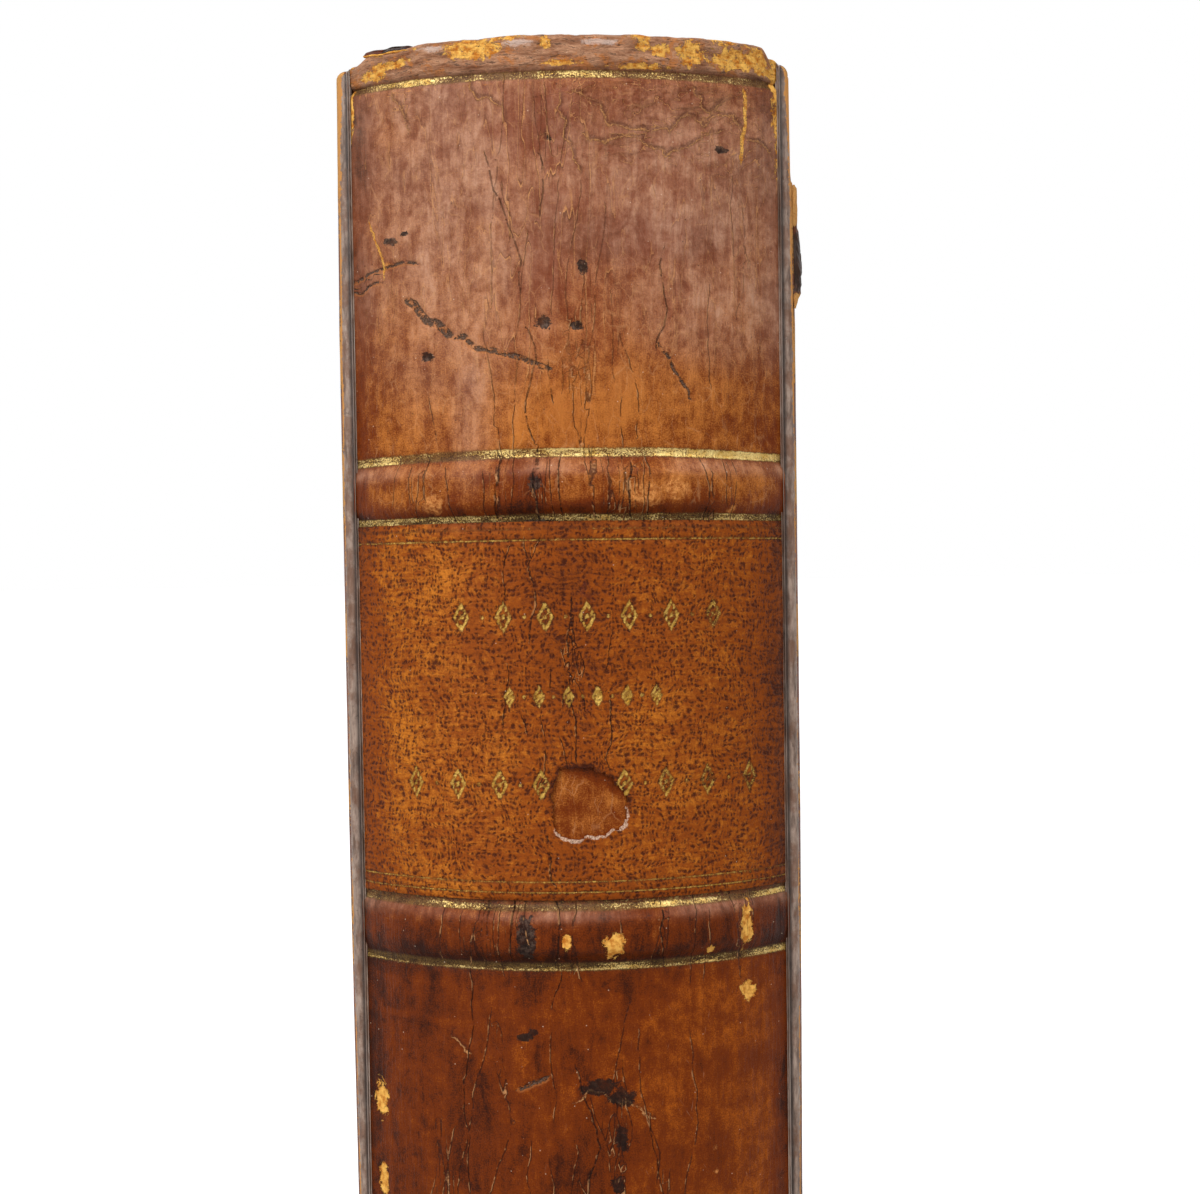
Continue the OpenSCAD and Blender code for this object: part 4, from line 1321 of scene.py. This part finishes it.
def core_prism():
    """The room for the millboard: a prism with two slanted corners by the joint and two rounded ones."""
    low, high = COVER_T, BOOK_H - COVER_T
    y0, y1 = BOARD_Y0 + COVER_T, BOARD_Y1 - COVER_T
    turn, r = np.linspace(0, math.pi / 2, 7), CORE_CORNER_R
    foot = [(y1 - r + r * math.sin(a), low + r - r * math.cos(a)) for a in turn]
    head = [(y1 - r + r * math.cos(a), high - r + r * math.sin(a)) for a in turn]
    outline = [(y0, low + BACK_CUT_H), (y0 + BACK_CUT_L, low), *foot, *head]
    outline += [(y0 + BACK_CUT_L, high), (y0, high - BACK_CUT_H)]
    return loop_sweep(np.array([[(x, y, z) for y, z in outline] for x in (CORE_IN_X, CORE_OUT_X)]))


def cut_out(points, faces, cutters):
    """The closed mesh less several closed meshes."""
    body = new_object("cut_body", points, faces)
    tools = [new_object("cut_tool", *cutter) for cutter in cutters]
    for tool in tools:
        modifier = body.modifiers.new("cut", "BOOLEAN")
        modifier.operation = "DIFFERENCE"
        modifier.solver = "EXACT"
        modifier.object = tool
    done = bpy.data.meshes.new_from_object(body.evaluated_get(bpy.context.evaluated_depsgraph_get()))
    result = np.empty(len(done.vertices) * 3)
    done.vertices.foreach_get("co", result)
    loops = [list(p.vertices) for p in done.polygons]
    for thing in [body, *tools]:
        bpy.data.objects.remove(thing)
    return result.reshape(-1, 3) / MM, loops


def board_fields(points, front):
    """Wear of a board's leather by place, with the board on the +X side."""
    x, y, z = points.T
    y = y - BOARD_Y0
    depth = BOARD_Y1 - BOARD_Y0
    outer = smooth(x, BOARD_X - 1.8, BOARD_X - 0.8)
    cut = BACK_CUT_H * np.clip(1 - y / BACK_CUT_L, 0, 1)
    edge = np.minimum(np.minimum(depth - y, z - cut), BOOK_H - cut - z)
    rubbed = (1 - smooth(edge, 0.0, 1.3)) * (0.55 + 0.5 * rough(y, z, 9.0, 141))
    for cy, cz in ((depth, 0), (depth, BOOK_H)):
        rubbed = np.maximum(rubbed, 1.1 * (1 - smooth(np.hypot(y - cy, z - cz), 2.0, 8.5)))
    head = (1 - smooth(y, 0.9, 1.6)) * smooth(z, 196 if front else 205, 236)
    joint = (1 - smooth(np.abs(y - 0.55), 0.2, 0.8)) * (0.38 + 0.55 * waves(y * 0, z, 6.0, 142))
    raw = np.maximum(np.maximum(rubbed, 0.95 * head), joint) * outer
    if front:
        raw = np.maximum(raw, 1.1 * torn_off(y, z, 0, -0.4, 0.2) * outer)
    inner = 1 - smooth(x, 21.6, 22.6)
    grey = (1 - smooth(np.abs(y - 0.2), 0.1, 0.5)) * 0.6 * smooth(x, BOARD_X - 1.6, BOARD_X - 1.1)
    return {"raw": raw * (1 - inner), "dark": 0 * x, "grey": grey}


def make_board_leather(front, material):
    """A board's leather, with the room for its millboard and the recess inside its turn-ins cut out."""
    points, faces = board_form(front)
    recess_x, recess_y = (BOARD_IN_X - 1, CORE_IN_X + 0.001), (BOARD_Y0 - 1, BOARD_Y1 - TURN_IN)
    recess = box_points(*recess_x, *recess_y, TURN_IN, BOOK_H - TURN_IN)
    points, faces = cut_out(points, faces, [core_prism(), recess])
    fields = board_fields(points, front)
    if not front:
        points = points * np.array([-1, 1, 1])
    side = "front" if front else "back"
    made = piece(f"{side}_calf_cover", points, faces, material, "board_calf", fields, 40)
    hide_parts(f"{side}_leather")
    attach(made, f"{side}_cover")


def make_flake(material):
    """The torn flake that stands out from the front board's edge: a fibrous strip with a beaded middle."""
    rows, around = 90, 28
    z = np.linspace(FLAKE_OUT[0][0], FLAKE_OUT[-1][0], rows)[:, None]
    angle = np.linspace(0, 2 * math.pi, around, endpoint=False)[None, :]
    heights, stands = zip(*FLAKE_OUT)
    stand = np.interp(z, heights, stands)
    lump = rough(angle * 1.1, z, 1.3, 151, 4)
    tilt = 0.8 * waves(angle, z * 0, 0.7, 155)
    beads = 0.10 * np.abs(np.sin(z * 2.6)) * smooth(z, 211.5, 213) * smooth(-z, -221, -219.5)
    reach = np.clip(stand * (0.80 + 0.22 * lump) + beads, 0.03, 0.94)
    front_y = BOARD_Y0 + 0.75 + 0.35 * waves(z * 0, z, 2.2, 152)
    taper = np.sin(math.pi * np.clip((z - z[0]) / (z[-1] - z[0]), 0, 1)) ** 0.6
    long = (2.2 + 1.5 * waves(z * 0, z, 3.0, 153) + 0.5 * waves(z * 0, z, 0.8, 154)) * (0.25 + 0.75 * taper)
    x = BOARD_X - 0.15 + (reach + 0.15) * np.maximum(np.cos(angle), -0.3)
    y = front_y + long / 2 - long / 2 * np.sin(angle) * (0.9 + 0.1 * lump)
    rings = np.stack([x + 0 * z, y + 0 * z, z + 0.15 * lump + tilt * taper], -1)
    rings[..., 2] = np.clip(rings[..., 2], 211.0, 225.4)
    points, faces = loop_sweep(rings)
    zz = points[:, 2]
    fields = {
        "raw": np.maximum(smooth(zz, 219.5, 221.5), 1 - smooth(zz, 212.2, 214.2)) * 0.9,
        "dark": 0.75 * smooth(zz, 211.6, 215.0) * (1 - smooth(zz, 218.0, 222.0)),
        "grey": 0 * zz,
    }
    made = piece("torn_flake", points, faces, material, "board_calf", fields, 60)
    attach(made, "front_cover")


def make_joint(front, material):
    """The fold of leather between the spine and a board, as a thin ribbon."""
    start = math.acos(SPINE_FOOT / SPINE_R) - 0.4 / SPINE_R
    path = [
        (SPINE_R * math.sin(start), AXIS_Y - SPINE_R * math.cos(start) + 0.06),
        (SPINE_R * math.sin(start + 0.009), AXIS_Y - (SPINE_R + 0.05) * math.cos(start + 0.009)),
        (23.42, JOINT_Y - 0.36),
        (23.66, JOINT_Y - 0.14),
        (23.80, JOINT_Y + 0.02),
        (BOARD_X - 1.15, JOINT_Y + 0.10),
        (BOARD_X - 0.78, JOINT_Y + 0.18),
        (BOARD_X - 0.52, JOINT_Y + 0.40),
        (BOARD_X - 0.34, JOINT_Y + 0.68),
    ]
    thick = [0.02, 0.16, 0.3, 0.3, 0.3, 0.3, 0.3, 0.25, 0.05]
    t = np.linspace(0, len(path) - 1, 25)
    line = np.stack([np.interp(t, range(len(path)), [p[k] for p in path]) for k in (0, 1)], -1)
    deep = np.interp(t, range(len(path)), thick)
    way = np.gradient(line, axis=0)
    way = way / np.hypot(way[:, 0], way[:, 1])[:, None]
    inward = np.stack([-way[:, 1], way[:, 0]], -1)
    zs = np.linspace(0, 1, 400)
    s, z = np.meshgrid(t / t[-1], zs)
    trim = 1.7 + 1.5 * s**2 + 0.3 * (1 + waves(s * 3, z * 0, 1.0, 164))
    z = trim + z * (BOOK_H - 2 * trim)
    ripple = 0.05 * rough(s * 4, z, 5.0, 161 if front else 171) * np.sin(math.pi * s)
    base = np.broadcast_to(line, (len(zs), len(t), 2)) + inward * ripple[..., None]
    base[..., 0] -= board_bow(z) * smooth(s, 0.5, 0.85)
    points, faces = slab(np.dstack([base, z]), np.dstack([base + inward * deep[:, None], z]))
    sides = np.tile(s.ravel(), 2)
    zz = np.tile(z.ravel(), 2)
    worn = 0.8 * smooth(sides, 0.80, 0.98) * (0.5 + 0.6 * waves(sides, zz, 8.0, 162))
    worn = worn + 0.35 * smooth(zz, 228, 237)
    upper = smooth(sides, 0.62, 0.85) * smooth(zz, 180, 215)
    worn = worn + 0.7 * upper * (0.6 + 0.5 * waves(sides, zz, 5.0, 165))
    lit = 0.8 * bell(sides, 0.20, 0.07) * smooth(waves(sides * 0, zz, 12.0, 163), -0.6, 0.6)
    fields = {
        "fold": bell(sides, 0.52, 0.07) + 0.8 * (1 - smooth(sides, 0.02, 0.12)),
        "raw": worn, "lit": np.clip(lit, 0, 1),
    }
    sign = 1 if front else -1
    points = points * np.array([sign, 1, 1])
    side = "front" if front else "back"
    made = piece(f"{side}_joint", points, faces, material, "board_calf", fields, 60)
    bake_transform(made)


# The leaves and the endbands


def leaf_outline(x, step):
    """Depth and height round one slice of the leaves: from the back of the tail up the fore-edge and down
    the back, with its kerfs."""
    inside = abs(x) <= LEAVES_X
    seat = BACK_R * math.sin(SEAT_ANGLE)
    back = AXIS_Y - math.sqrt((TUBE_R if abs(x) > seat else BACK_R) ** 2 - x * x)
    kerf = min(AXIS_Y - math.sqrt(KERF_R**2 - x * x), JOINT_Y) if abs(x) < seat else back
    fore_r = (LEAVES_X**2 + FORE_HOLLOW**2) / (2 * FORE_HOLLOW)
    hollow = fore_r - math.sqrt(max(fore_r**2 - x * x, 0))
    front = FORE_Y - FORE_HOLLOW + hollow if inside else JOINT_Y
    low, high = LEAF_Z + step[0], LEAF_TOP - step[1]
    outline = [(back + (front - back) * t, low) for t in np.linspace(0, 1, 8)]
    edge = step[2] if inside else 0
    outline += [(front - edge, z) for z in np.linspace(LEAF_Z + 0.3, LEAF_TOP - 0.3, 22)]
    outline += [(back + (front - back) * t, high) for t in np.linspace(1, 0, 8)]
    for z in reversed(CORD_ZS):
        outline += [(back, z + KERF_MOUTH), (kerf, z + KERF_HALF)]
        outline += [(kerf, z - KERF_HALF), (back, z - KERF_MOUTH)]
    return outline


def make_text_block(material):
    """The leaves, in sections of slightly unequal size with a small hollow between them."""
    rng = np.random.default_rng(7)
    limit = TUBE_R * math.sin(math.acos(SPINE_FOOT / TUBE_R)) - 0.02
    ends = (LEAVES_X + 0.001, LEAVES_X + 0.6, limit)
    xs = np.arange(-LEAVES_X, LEAVES_X + 0.01, LEAF_T)
    section = np.floor((xs + LEAVES_X) / SECTION_T)
    shift = rng.uniform(0, 0.16, (int(section.max()) + 1, 3))
    rings, leaf = [], []

    def add_ring(x, step, tone):
        rings.append([(x, y, z) for y, z in leaf_outline(x, step)])
        leaf.append(tone)

    for x in reversed(ends):
        add_ring(-x, (0, 0, 0), 0.5)
    for k, x in enumerate(xs):
        step = shift[int(section[k])] + rng.uniform(0, 0.10, 3)
        between_sections = abs((x + LEAVES_X) % SECTION_T) < 0.19 and 0 < k < len(xs) - 1
        gap, dim = (0.25, 0.4) if between_sections else (0, 1)
        add_ring(float(np.clip(x, -LEAVES_X, LEAVES_X)), step + gap, rng.uniform(0, 1) * dim)
    for x in ends:
        add_ring(x, (0, 0, 0), 0.5)
    rings = np.array(rings)
    points, faces = loop_sweep(rings)
    leaf = np.repeat(leaf, rings.shape[1])
    grime = smooth(points[:, 2], 232, LEAF_TOP) * 0.9
    made = piece("leaves", points, faces, material, "page_paper", {"leaf": leaf, "grime": grime}, 60)
    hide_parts("text_block")
    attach(made, "book_block")


def make_endband(head, material):
    """A bead wound with thread in two colours, on a tongue of cloth."""
    middle_r, middle_z = BACK_R - BEAD_R, LEAF_TOP + BEAD_R
    turns = np.linspace(math.radians(30), math.radians(330), 22)
    phi = np.linspace(-LINING_ANGLE, LINING_ANGLE, 361)
    count = 46
    rings, thread = [], []
    for angle in phi:
        wind = angle / (2 * LINING_ANGLE) * count
        swell = 1.0 - 0.10 * (1 - abs(math.sin(2 * math.pi * wind)))
        reach = BEAD_R * swell
        bead = [(middle_r + reach * math.cos(a), middle_z + reach * math.sin(a)) for a in turns]
        outline = [(ENDBAND_R1, LEAF_TOP - TONGUE), (ENDBAND_R1, LEAF_TOP + 1.5 * BEAD_R), *bead]
        outline += [(ENDBAND_R0, LEAF_TOP + 0.5), (ENDBAND_R0, LEAF_TOP - TONGUE)]
        r, z = np.array(outline).T
        rings.append(on_arc(r, angle, z if head else BOOK_H - z))
        colour_share = 0.5 + 0.5 * math.copysign(1, math.sin(math.pi * wind))
        thread.append([0.8, 0.8, *[colour_share] * len(turns), 0.8, 0.8])
    points, faces = loop_sweep(np.array(rings))
    fields = {"thread": np.ravel(thread)}
    name = "head" if head else "tail"
    made = piece(f"{name}_band_of_thread", points, faces, material, "endband_thread", fields, 70)
    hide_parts(f"{name}_endband")
    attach(made, "book_block")


# Build every piece

calf, board_skin, joint_skin = spine_calf(), board_calf(), joint_calf()
make_spine_leather(calf)
make_headcap_flap(calf)
make_lettering_piece(label_leather())
for is_front in (True, False):
    make_board_leather(is_front, board_skin)
    make_joint(is_front, joint_skin)
make_flake(board_skin)
make_text_block(page_paper())
threads = endband_thread()
make_endband(True, threads)
make_endband(False, threads)

marbled = marbled_paper()
board_stuff = fibrous("millboard", (96, 78, 54), (150, 128, 94), 0.8, 0.1)
tube_stuff = fibrous("brown_paper", (120, 96, 62), (176, 150, 108), 0.5, 0.05)
cloth, hemp = linen(), hemp_cord()
FINISHES = {
    "flyleaf": marbled, "pastedown": marbled, "millboard": board_stuff, "band_strip": board_stuff,
    "infill": tube_stuff, "hollow_tube": tube_stuff, "spine_lining": cloth, "sewing_cord": hemp,
}
for node_name, node in nodes.items():
    for key, finish in FINISHES.items():
        if key in node_name:
            node.data.materials.clear()
            node.data.materials.append(finish)


# Stage, light and camera

WHITE, FLOOR_GREY = (1, 1, 1, 1), (0.55, 0.55, 0.55, 1)
ROOM_LEVEL = 0.24
# Lamps: azimuth and elevation in degrees, distance and size in metres, and radiance
LAMPS = {
    "key": (-46, 32, 1.2, (0.46, 1.2), 6.4),
    "top": (12, 60, 1.2, (0.9, 0.6), 3.2),
    "fill": (44, 26, 1.3, (0.5, 0.7), 4.2),
}
SENSOR_MM = 36


def seen_white(g, behind):
    """1 for rays that end in the picture: straight, through glass, or mirrored from behind the object."""
    rays = g.node("LightPath").outputs
    mirrored = g.times(rays["Is Glossy Ray"], behind)
    return g.most(rays["Is Camera Ray"], mirrored, rays["Is Transmission Ray"])


def stage_material():
    """White to the camera and, behind the object, to reflections, but for the object's own shadow."""
    g = Graph("plain_floor")
    x, y, _ = g.split(g.place())
    radius = g.math("SQRT", g.add(g.times(x, x), g.times(y, y)))
    glow = g.step(radius, 100.0, 360.0, 0.5, 1.0)
    g.put(g.shader.inputs["Base Color"], FLOOR_GREY)
    g.put(g.shader.inputs["Roughness"], 0.9)
    g.put(g.shader.inputs["Emission Color"], WHITE)
    g.put(g.shader.inputs["Emission Strength"], g.times(seen_white(g, g.step(y, -60.0, 120.0)), glow))
    return g.owner


def make_stage():
    mesh = bpy.data.meshes.new("floor")
    reach = 4.0
    corners = [(reach * x, reach * y, 0) for x, y in ((-1, -1), (1, -1), (1, 1), (-1, 1))]
    mesh.from_pydata(corners, [], [(0, 1, 2, 3)])
    floor = bpy.data.objects.new("floor", mesh)
    floor.location.z = -0.0002
    mesh.materials.append(stage_material())
    bpy.context.scene.collection.objects.link(floor)


def make_world():
    """White behind the book, to the camera and in reflections. The room before it reflects more dimly."""
    world = bpy.data.worlds.new("studio")
    bpy.context.scene.world = world
    g = Graph(world, "OutputWorld", "Background")
    way = g.split(g.node("TexCoord").outputs["Generated"])
    seen = seen_white(g, g.step(way[1], -0.1, 0.4))
    g.put(g.shader.inputs["Color"], WHITE)
    g.put(g.shader.inputs["Strength"], g.ramp(seen, 1 - ROOM_LEVEL, ROOM_LEVEL))


def make_lamp(name, azimuth, elevation, distance, size, radiance):
    """A soft box that faces the spine's upper half."""
    target = Vector((0, CROWN_Y * MM, 0.2))
    a, e = math.radians(azimuth), math.radians(elevation)
    back = Vector((math.sin(a) * math.cos(e), -math.cos(a) * math.cos(e), math.sin(e)))
    light = bpy.data.lights.new(name, "AREA")
    light.shape = "RECTANGLE"
    light.size, light.size_y = size
    light.energy = radiance * math.pi * size[0] * size[1]
    lamp = bpy.data.objects.new(name, light)
    lamp.location = target + back * distance
    lamp.rotation_mode = "QUATERNION"
    lamp.rotation_quaternion = (-back).to_track_quat("-Z", "Y")
    bpy.context.scene.collection.objects.link(lamp)


def make_camera():
    data = bpy.data.cameras.new("camera")
    data.sensor_width = SENSOR_MM
    data.lens = SENSOR_MM * FOCAL_PX / PHOTO_W
    camera = bpy.data.objects.new("camera", data)
    right, up, forward = camera_axes()
    turn = Matrix((right, up, -forward)).transposed().to_4x4()
    place = Vector((CAMERA_X, CROWN_Y - CAMERA_GAP, CAMERA_Z)) * MM
    camera.matrix_world = Matrix.Translation(place) @ turn
    data.clip_start, data.clip_end = 0.01, 20
    bpy.context.scene.collection.objects.link(camera)
    bpy.context.scene.camera = camera


make_stage()
make_world()
for lamp_name, lamp in LAMPS.items():
    make_lamp(lamp_name, *lamp)
make_camera()
bpy.context.scene.view_settings.view_transform = "Standard"
